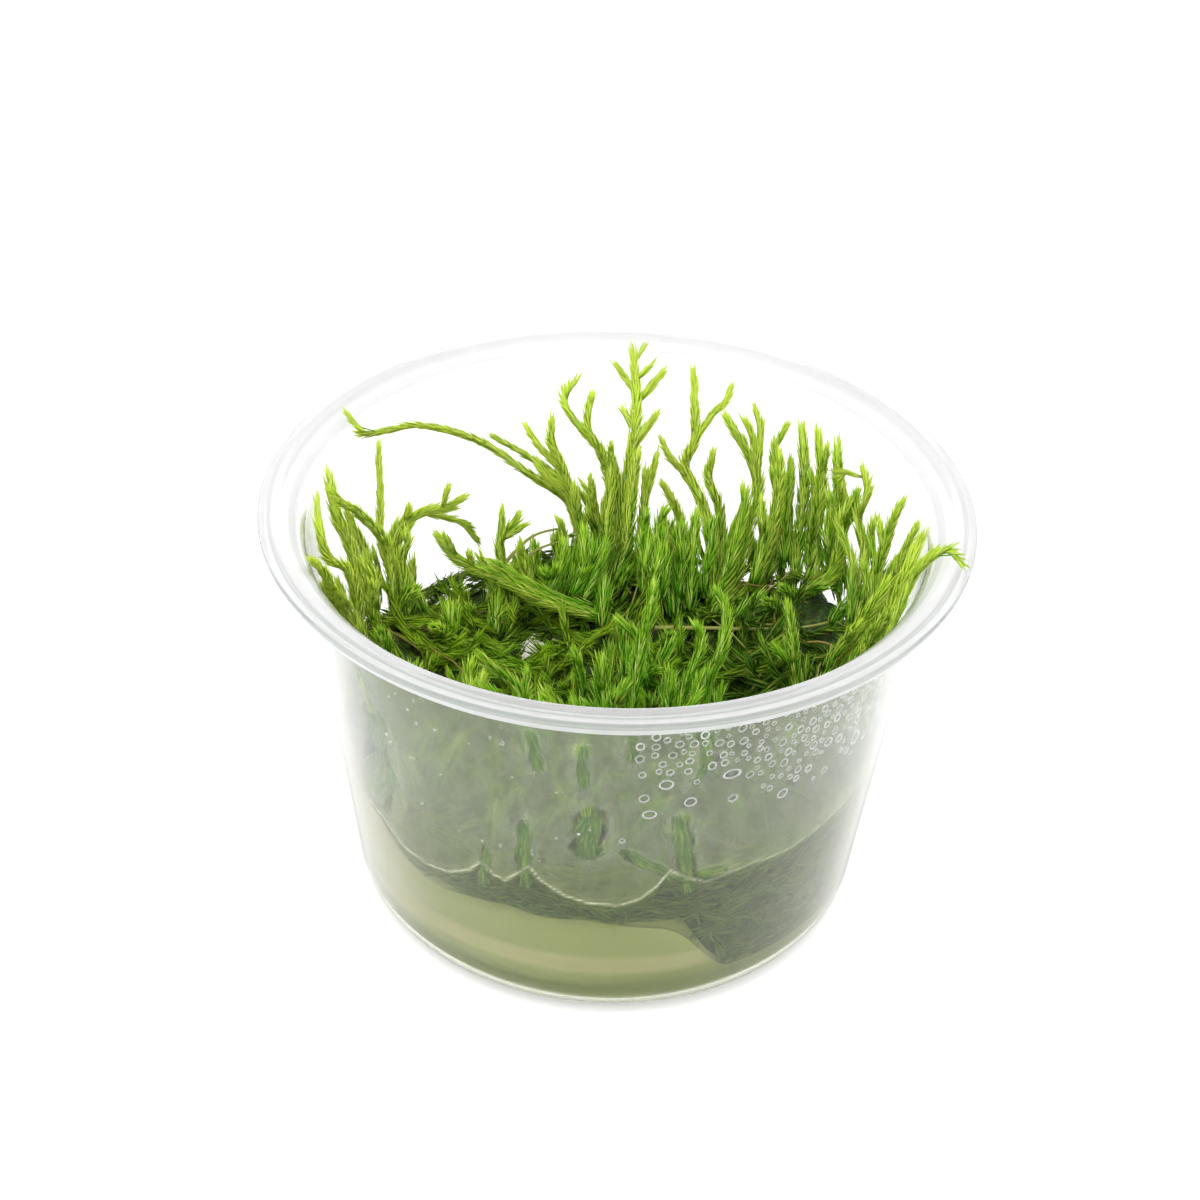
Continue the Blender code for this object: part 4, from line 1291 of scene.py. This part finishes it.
def grow_shoots(shoots, tone, freshness=(0.35, 1.0), companions=2, heights=(0.35, 0.7)):
    """Makes each shoot of a group in place of its CAD node, with shorter shoots beside it."""
    for name, (radius, foot, way, *branches) in shoots.items():
        seed = sum(ord(letter) * (place + 1) for place, letter in enumerate(name))
        rng = np.random.default_rng(seed)
        foot_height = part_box(name)[0][2] / MM
        start = np.array((*foot, foot_height))
        down = unit(start - np.array(way[0])) * ROOT_DEPTH
        points = [start + down, start, *[np.array(point) for point in way]]
        tangle = Tangle(name + "_moss", KEELED_BLADE)
        own_tone = np.clip(tone + rng.normal(0, TONE_SPREAD), 0, 1)
        leafy_shoot(tangle, points, radius, freshness, own_tone, rng)
        curve, _ = smooth_path(points[1:], CURVE_SPACING)
        for share, branch_way in branches:
            fork = curve[int(share * (len(curve) - 1))]
            there = BRANCH_SHARE * radius * (1 - (1 - TIP_SHARE) * share**3)
            fresh = (freshness[0] + (freshness[1] - freshness[0]) * share, freshness[1])
            branch = [fork, *[np.array(point) for point in branch_way]]
            leafy_shoot(tangle, branch, there, fresh, own_tone, rng)
        for _ in range(companions):
            beside = companion(curve, rng.uniform(*heights), rng)
            side_tone = np.clip(own_tone - rng.uniform(0, COMPANION_DARKER), 0, 1)
            fresh = (COMPANION_OLDER * freshness[0], COMPANION_TIP * freshness[1])
            width = radius * rng.uniform(*COMPANION_WIDTHS)
            leafy_shoot(tangle, beside, width, fresh, side_tone, rng)
        tangle.add_stems(0.4, own_tone)
        tangle.piece(NEW_MOSS, "new_moss", name)


# The shoots at the left wall lean on it and rise to the rim. Each shoot is given as its radius
# in mm, its foot's x and y, the points that it passes through, and its branches, if any: the
# share of the stem where each forks off, and the branch's own points.
LEFT_WALL = {
    "left_wall_frond": (0.9, (-36, 0), [
        (-38.3, -1, 44), (-39.5, -7, 51.5), (-39.7, -11.2, 57), (-41.2, -15.3, 62.9),
    ]),
    "left_low": (0.7, (-38.9, 2.2), [(-39.3, 2, 43), (-40, 1.5, 47.5)]),
    "left_wall_low": (0.9, (-28.3, -25.5), [
        (-29.3, -25.5, 37), (-31.3, -25.3, 44.5), (-33.6, -23.6, 49.8),
    ]),
    "left_outer": (0.8, (-37, 3.8), [
        (-38, 1.5, 48), (-40.3, -1.5, 53), (-41.5, -1.5, 57.5), (-42.3, 2, 61.8),
    ]),
    "left_tall": (1.1, (-36.3, 8), [(-38.5, 8.5, 47.5), (-40.5, 8, 54.5), (-41.7, 10, 61.3)]),
    "left_cross": (0.8, (-33, 12.5), [
        (-34, 13.2, 45), (-37, 9.5, 53), (-39.2, 6, 57.5), (-41.2, 4.5, 61.3),
    ]),
    "left_inner": (0.8, (-36, 11.8), [(-37, 12, 44.5), (-38.5, 11.5, 49.5), (-39.5, 11, 54)]),
    "thin_left": (0.55, (-32.3, 17), [(-35, 17.5, 42), (-35.2, 18.5, 50), (-35.4, 20.3, 59.3)]),
    "left_arm": (0.9, (-29, 14), [
        (-33.2, 15.3, 41), (-32.5, 16.5, 46), (-29, 16.5, 49), (-25.5, 16, 50.5), (-21.5, 15, 54),
    ],
        (0.80, [(-24.5, 14, 56.2)]), (0.58, [(-30.5, 15, 52)]),
        (0.68, [(-23.5, 18.2, 46.5), (-20.5, 19, 42)]),
    ),
    "left_loop": (0.8, (-29.8, 19), [
        (-32, 19.5, 35), (-33, 19.3, 40), (-32, 18.6, 43.5), (-29.7, 18.7, 46.5),
    ]),
}
grow_shoots(LEFT_WALL, tone=0.9, freshness=(0.55, 1.05), companions=1)


# Over the open gel at the left, a creeping arm reaches across from the middle, and two small
# fans stand behind it.
OVER_GEL = {
    "creeping_arm": (1.1, (-4, 17), [
        (-10.5, 17.5, 33), (-16.5, 18.2, 36), (-22, 17.2, 39.3), (-25, 16.2, 43), (-27, 15.2, 47),
    ],
        (0.78, [(-25.5, 13.2, 48)]), (0.66, [(-21.8, 15, 44)]),
    ),
    "left_fan": (0.8, (-15.5, 23.5), [
        (-17.5, 23.5, 37), (-17, 23, 41), (-15.5, 22, 44), (-14.5, 21, 47.5),
    ],
        (0.5, [(-17.2, 22.5, 47)]), (0.62, [(-13, 19.5, 46)]),
    ),
    "left_fan_small": (0.8, (-12, 23), [(-14, 22.3, 37), (-14.3, 20.5, 42.3)]),
}
grow_shoots(OVER_GEL, tone=0.6, freshness=(0.4, 1.0), companions=1, heights=(0.5, 0.75))


# At the back stand the tallest shoots, with long slender branches that reach over the rim's
# height, and a thin runner that leans to the left wall.
BACK = {
    "runner_long": (0.6, (-4.5, 34), [
        (-6.5, 34.5, 37), (-8.5, 34.3, 41), (-14, 32.5, 46.5), (-21.1, 32, 52), (-29.2, 27, 57.7),
        (-35.9, 22.3, 59.2), (-37.7, 20.2, 60.9), (-40.3, 19.8, 64.7),
    ]),
    "centre_short": (0.7, (-7.5, 28.5), [(-8, 28, 38), (-9.5, 26.5, 42.5)]),
    "centre_left": (0.9, (-2.5, 28.5), [
        (-5.5, 30, 38), (-7, 29.5, 44), (-8.5, 28.5, 50), (-10, 27.5, 55), (-10, 27.5, 60.5),
    ],
        (0.62, [(-12, 27, 55), (-14.5, 28, 58.5)]), (0.48, [(-10.8, 28, 49), (-12, 28.5, 52.5)]),
    ),
    "hooked": (0.9, (1.5, 30), [
        (1, 31.5, 39), (-1, 29.5, 47), (-2.5, 28, 53), (-4.5, 26.5, 58), (-4.5, 27, 62),
        (-3.3, 27, 64.6),
    ],
        (0.66, [(-7, 26.3, 60.5), (-8, 27.5, 62.7), (-7, 28.8, 64.4), (-5.2, 28.8, 65.3)]),
        (0.44, [(-1.2, 25.6, 57.2)]),
    ),
    "small_pair": (0.7, (-1.5, 33), [
        (-3, 32, 39), (-3.7, 31, 44), (-4.2, 30, 48.5),
    ],
        (0.7, [(-6, 31.5, 46.3)]),
    ),
    "tallest": (1.1, (-1, 24), [
        (0.5, 26, 37), (1.2, 27, 46), (2, 27.8, 53), (2.5, 29, 59), (2.2, 33, 63.5),
        (1.5, 37, 67.5),
    ],
        (0.92, [(3.6, 37.8, 67)]), (0.80, [(-1.3, 35.9, 65)]), (0.85, [(5.2, 34.8, 66)]),
        (0.76, [(6.9, 33.8, 65.3)]), (0.65, [(0, 29.5, 61.3)]), (0.58, [(6, 27.7, 61.8)]),
    ),
    "centre_thin": (0.8, (4, 25), [
        (4, 27.5, 38), (4.3, 28.5, 45), (4.3, 29.5, 50.5),
    ],
        (0.6, [(6, 28.5, 54)]),
    ),
    "tall_right": (0.9, (16, 28), [
        (15.5, 29.5, 36.5), (13, 30, 44), (10.5, 31, 49), (11.5, 31.5, 54), (11.3, 32.8, 59.5),
        (11, 37, 64),
    ],
        (0.66, [(13.5, 32.5, 57), (15.5, 33.3, 59.3), (17, 36.5, 61.5)]),
        (0.50, [(8, 29.7, 52), (6.3, 29.5, 56)]),
    ),
    "right_short": (0.8, (10.5, 28.5), [(10.3, 31, 38), (8.5, 31.5, 43), (6.3, 31, 47)]),
}
grow_shoots(BACK, tone=0.8, freshness=(0.45, 1.05))


# Short, broad shoots of deep green stand close together at the foot of the tall ones. They are
# the same moss, kept short by the shade, and their deep green is painted shade.
CLUMPS = {
    "clump_back": (1.0, (-9, 22), [(-8.3, 22.5, 35), (-7.7, 23, 41.5)]),
    "clump_centre": (1.1, (-5, 21.5), [(-4.5, 22.5, 38), (-5, 24, 43.5)]),
    "clump_right": (1.0, (6, 20.5), [(6.2, 21.5, 38), (6.7, 23.5, 44), (8.5, 22.5, 47.5)]),
    "clump_far_right": (1.1, (12, 22), [(12, 24, 39), (12.3, 25.5, 46)]),
}
grow_shoots(CLUMPS, tone=0.25, freshness=(0.25, 0.75), companions=4, heights=(0.6, 0.95))


# At the back right a row of thick shoots stands like columns, with a drooping one at its end.
# Their leaves are set so close that the stems don't show.
BACK_RIGHT = {
    "right_mid": (1.1, (16, 19), [
        (18.5, 22.5, 34.5), (20.5, 25.5, 43), (21.3, 27.3, 49), (19.5, 28.3, 54),
        (17, 28.5, 58.3), (15.7, 29.3, 61.2),
    ],
        (0.60, [(20.3, 26.8, 56.5), (18.2, 26.5, 61.8)]),
        (0.64, [(21.2, 29, 57.5), (19.7, 30, 61.7)]),
    ),
    "right_mid_back": (1.0, (21.5, 22.5), [
        (23, 24, 38), (24.2, 25.5, 45), (24.5, 26, 51), (24, 26.5, 56.5),
    ]),
    "right_arc": (0.8, (26, 28), [
        (25.3, 31, 43), (24, 32, 50.5), (24.5, 32.3, 54), (26.3, 33, 57),
    ]),
    "column_left": (1.1, (28, 23.5), [
        (28.3, 26, 40), (28.5, 28, 48), (28, 28.8, 54.5), (27.3, 30.5, 58.8),
    ]),
    "column_mid": (1.1, (30.5, 20.5), [
        (30.5, 24.7, 40.5), (30.8, 25, 50), (30.2, 25.8, 56), (29.5, 27.5, 59.8),
    ],
        (0.7, [(31, 23.3, 59.7)]),
    ),
    "column_right": (1.1, (34, 18.5), [
        (33, 22, 42), (33.2, 22.2, 50.5), (32.7, 22.5, 55.8), (32.3, 24, 60.6),
    ]),
    "droop_right": (0.8, (35.5, 10.5), [
        (36.8, 13, 44), (36.8, 14.7, 46.7), (36, 17, 50), (36.7, 17.5, 54), (36.3, 18.2, 56.7),
        (35.2, 19.3, 58.8),
    ],
        (0.90, [(33.6, 19.6, 56.5), (33.7, 19.1, 53.5), (34, 18.4, 50)]),
    ),
    "diagonal": (1.0, (29.5, 16.5), [(32.3, 17.5, 39), (33.3, 16.5, 43.5), (33.5, 15.5, 48.5)]),
}
grow_shoots(BACK_RIGHT, tone=0.6, freshness=(0.3, 1.0), companions=2, heights=(0.45, 0.8))


# The shoots at the right wall lean on it and are held there by their wet leaves. A thin one has
# grown out and hangs over the rim.
RIGHT_WALL = {
    "right_tall": (0.9, (38, 6.8), [
        (38.5, 8.5, 45), (39.2, 8.8, 52), (40, 8.3, 57), (41.3, 8, 60.7),
    ],
        (0.55, [(37.9, 9.8, 55.9)]),
    ),
    "right_pair": (0.8, (37.5, 2.5), [(39.8, 4.7, 45.5), (41, 3.5, 53), (42.4, 1.5, 60.7)]),
    "right_low": (1.1, (33, -1), [(35.5, 0, 42.5), (37.6, -0.3, 48), (39.2, 0, 52.5)]),
    "right_frond": (1.2, (35.5, -5.5), [
        (37.6, -4.7, 44), (39.1, -7.7, 53), (40.3, -7.7, 59), (42.6, -3.7, 63.2),
    ],
        (0.75, [(44, -9, 63.8)]),
    ),
    "over_rim": (0.6, (33, -12), [
        (36.5, -13, 45), (38.6, -13, 54), (40.6, -12, 60.5), (43.5, -13.3, 65.6),
        (45.2, -16, 66.6), (45.6, -18.2, 65.6),
    ]),
}
grow_shoots(RIGHT_WALL, tone=0.6, freshness=(0.3, 1.0))


# In the middle and at the front, shorter shoots bend over the bed. They are rooted in the felt,
# and their darker colour is painted shade from the wall and the tall shoots.
FRONT = {
    "front_bent": (0.9, (14, -13.5), [
        (13.3, -10.5, 38), (15.2, -9.5, 45), (15.5, -9, 51), (13.5, -9.5, 56.3),
    ]),
    "front_bent_small": (0.8, (9.5, -11.5), [
        (10.2, -10.5, 38), (12, -10, 44.5), (12, -10, 48), (10.5, -11, 51),
    ]),
    "front_right": (0.8, (27, -2), [(26, -1.5, 41), (24.5, -1.5, 49)]),
    "front_hook": (0.8, (6, 1.5), [(4, 2.5, 37), (0, 2, 42)]),
    "front_broad": (1.3, (-0.5, -8), [(-1.2, -6.5, 35), (-1.7, -6.5, 42)]),
    "front_left": (0.9, (-9.6, -16.4), [
        (-11.6, -12.5, 35), (-13.8, -10.5, 38.3), (-16.5, -10.5, 41), (-18.8, -12, 45.3),
    ],
        (0.42, [(-12, -11, 42.5)]),
    ),
    "front_long": (1.0, (2.8, -10.5), [
        (3.2, -9.5, 37), (4, -8, 44), (5, -7.5, 50), (5.5, -7.5, 56),
    ]),
    "front_lean": (0.8, (-4, -2.5), [(-4.7, -3.5, 36), (-5.7, -5.5, 42)]),
    "front_tuft": (0.8, (8, -5.8), [(8.5, -5.5, 34.5), (8, -5.5, 39.3)]),
    "front_inner": (0.9, (-3.5, -25), [(-3.5, -24, 35), (-3.5, -23.5, 41)]),
    "hidden_right": (0.9, (22, -21), [(23, -22, 36), (24.5, -24, 43)]),
}
grow_shoots(FRONT, tone=0.2, freshness=(0.05, 0.65))


# Broad young shoots of deep green stand and lean all over the bed. They grow out of the felt,
# but not over its gaps or in a clearing at the right.
BED_SHOOTS = 95
BED_SHOOT_SEED = 17
BED_SHOOT_AREA = 35  # mm, the radius within which they stand
# An ellipse at the right without them: the middle's x and y, and half the sizes, in mm
CLEARING = (21, 5, 13, 8)
BED_SHOOT_LEANS = (0.1, 0.9)
BED_SHOOT_RISES = (5, 9.5)  # mm
BED_SHOOT_ROOT = 2.2  # mm
BED_SHOOT_RADII = (0.95, 1.4)
SUNNY, SUNNY_TIP, SUNNY_TONE = 0.3, 0.3, 0.3
BED_SHOOT_TIP = 0.5
BED_SHOOT_TONE = 0.35


def bed_shoots():
    rng = np.random.default_rng(BED_SHOOT_SEED)
    tangle = Tangle("bed_shoots", KEELED_BLADE)
    middle_x, middle_y, half_x, half_y = CLEARING
    for _ in range(BED_SHOOTS):
        distance = BED_SHOOT_AREA * math.sqrt(rng.random())
        around = rng.uniform(0, math.tau)
        foot = np.array((distance * math.cos(around), distance * math.sin(around)))
        cleared = math.hypot((foot[0] - middle_x) / half_x, (foot[1] - middle_y) / half_y) < 1
        if in_gap(*foot) or cleared:
            continue
        lean = rng.uniform(*BED_SHOOT_LEANS)
        turn = rng.uniform(0, math.tau)
        rise = rng.uniform(*BED_SHOOT_RISES)
        points = []
        for share in (0, 0.3, 0.65, 1):
            way = np.array((math.cos(turn), math.sin(turn)))
            x, y = foot + rise * lean * share**1.6 * way
            points.append((x, y, float(bed_top(*foot)) - BED_SHOOT_ROOT + rise * share))
        sunny = rising(-foot[0], *LEFT_SIDE)
        fresh = (SUNNY * sunny, BED_SHOOT_TIP + SUNNY_TIP * sunny)
        radius = rng.uniform(*BED_SHOOT_RADII)
        tone = rng.uniform(0, BED_SHOOT_TONE) + SUNNY_TONE * sunny
        leafy_shoot(tangle, points, radius, fresh, tone, rng)
    tangle.add_stems(0.3, 0.2)
    tangle.piece(NEW_MOSS, "new_moss", "moss_bed")


bed_shoots()

# Three broad shoots of the moss grow up along the front wall from the edge of the bed, and a
# film of water holds them to it.
PRESSED = {
    "wall_left": (0.9, (-10, -35), [(-10.2, -37.2, 34), (-10.5, -38.3, 39)]),
    "wall_broad": (1.3, (-2.5, -35), [(-2.5, -37, 34.5), (-3, -38.3, 40)]),
    "wall_right": (0.9, (10.5, -35), [(10.3, -37.5, 34.5), (9.5, -38.8, 41)]),
}
grow_shoots(PRESSED, tone=0.2, freshness=(0.3, 0.7), companions=1)


# Flat fronds of the same moss cling to the wall by their wet leaves, beside and above these
# shoots, and one bare brown stem hangs there. Each grows where the mist is cleared for it.
FROND_SEED = 21
FROND_SPREAD = 0.8  # of half the pressed width
FROND_DEPTH = 0.5  # mm from the wall
FROND_DEEPER = 0.3
FROND_REACH = 0.55 * MM
FROND_FEWEST, FRONDS_PER_WIDTH = 1.5, 3.2
FROND_WAVER = 0.15  # degrees
FROND_TONES = (0, 0.5)
DARK_LEFT = -45  # degrees, where the fronds further to the left are darker
FRESH_LEFT, FRESH_FRONT = (0, 0.15), (0.1, 0.4)
WALL_STEM = [(29.8, 41.7), (31.6, 36), (33.8, 30.4), (31.2, 29.6)]  # degrees and height in mm
WALL_STEM_THICKNESS = 2.4


def pressed_fronds():
    rng = np.random.default_rng(FROND_SEED)
    tangle = Tangle("pressed_fronds", KEELED_BLADE)
    for start, end, half in PRESSED_SHOOTS:
        for _ in range(round(FROND_FEWEST + FRONDS_PER_WIDTH * half)):
            aside = rng.uniform(-1, 1) * FROND_SPREAD * max(half - 0.4, 0.1) / DEGREE
            points = []
            for share in (0, 0.35, 0.7, 1):
                azimuth, height = np.array(start) + share * (np.array(end) - start)
                azimuth += aside * math.sin(math.pi * min(0.25 + share, 1) / 1.25)
                azimuth += rng.normal(0, FROND_WAVER)
                wall = inner_radius(height * MM) / MM
                radius = wall - FROND_DEPTH - FROND_DEEPER * rng.random()
                points.append(round_cup(azimuth, radius, height))
            path, _ = smooth_path(np.array(points) * MM, SHOOT_SPACING)
            fresh = rng.uniform(*(FRESH_LEFT if start[0] < DARK_LEFT else FRESH_FRONT))
            tone = rng.uniform(*FROND_TONES)
            tangle.grow(path, FROND_REACH, fresh, tone, (0, -1, 0), rng)
    stem = [
        round_cup(azimuth, inner_radius(height * MM) / MM - FROND_DEPTH, height)
        for azimuth, height in WALL_STEM
    ]
    path, _ = smooth_path(np.array(stem) * MM, SHOOT_SPACING)
    tangle.add_stem(path, WALL_STEM_THICKNESS)
    tangle.add_stems(0.0, 0.0)
    tangle.piece(NEW_MOSS, "new_moss", "wall_left", "wall_broad", "wall_right")


pressed_fronds()


# The studio: a plain white floor, an even white surround and one large soft light, with the
# camera where the photograph was taken from.
CAMERA_PLACE = (-2.005 * MM, -278.547 * MM, 248.902 * MM)
CAMERA_DOWN = 36.04  # degrees below level
CAMERA_ROLL = 1.9436
LENS = 72  # mm
SENSOR = 36
NEAREST = 0.01  # m that the camera sees
FLOOR_HALF = 2.5  # m
FLOOR_WHITE = (0.9, 0.9, 0.9, 1)
FLOOR_ROUGHNESS = 0.8
FLOOR_GLOW = 0.36  # of the white that the floor gives back from the surround
WHITE = (1, 1, 1, 1)
SURROUND = 1.02
SOFTBOX_SIZE = 0.9  # m
SOFTBOX_POWER = 5.0  # W
SOFTBOX_PLACE = (-0.05, -0.12, 0.7)
SOFTBOX_AIM = (0, 0, 0.03)


def studio():
    bm = bmesh.new()
    bmesh.ops.create_grid(bm, x_segments=1, y_segments=1, size=FLOOR_HALF)
    mesh = bpy.data.meshes.new("floor")
    bm.to_mesh(mesh)
    bm.free()
    finish = Finish("pale_floor")
    glow = {"Emission Color": WHITE, "Emission Strength": FLOOR_GLOW}
    mesh.materials.append(finish.done(finish.skin(FLOOR_WHITE, FLOOR_ROUGHNESS, glow)))
    floor = bpy.data.objects.new("floor", mesh)
    bpy.context.collection.objects.link(floor)

    world = bpy.data.worlds.new("white_surround")
    bpy.context.scene.world = world
    world.use_nodes = True
    background = world.node_tree.nodes["Background"]
    background.inputs["Color"].default_value = WHITE
    background.inputs["Strength"].default_value = SURROUND

    softbox = bpy.data.lights.new("softbox", "AREA")
    softbox.size = SOFTBOX_SIZE
    softbox.energy = SOFTBOX_POWER
    lamp = bpy.data.objects.new("softbox", softbox)
    lamp.location = SOFTBOX_PLACE
    aim = Vector(SOFTBOX_AIM) - Vector(SOFTBOX_PLACE)
    lamp.rotation_euler = aim.to_track_quat("-Z", "Y").to_euler()
    bpy.context.collection.objects.link(lamp)

    lens = bpy.data.cameras.new("camera")
    lens.lens = LENS
    lens.sensor_width = SENSOR
    lens.clip_start = NEAREST
    camera = bpy.data.objects.new("camera", lens)
    tilt = Matrix.Rotation(math.radians(90 - CAMERA_DOWN), 4, "X")
    roll = Matrix.Rotation(math.radians(CAMERA_ROLL), 4, "Z")
    camera.matrix_world = Matrix.Translation(CAMERA_PLACE) @ tilt @ roll
    bpy.context.collection.objects.link(camera)
    bpy.context.scene.camera = camera
    bpy.context.scene.view_settings.view_transform = "Standard"


studio()
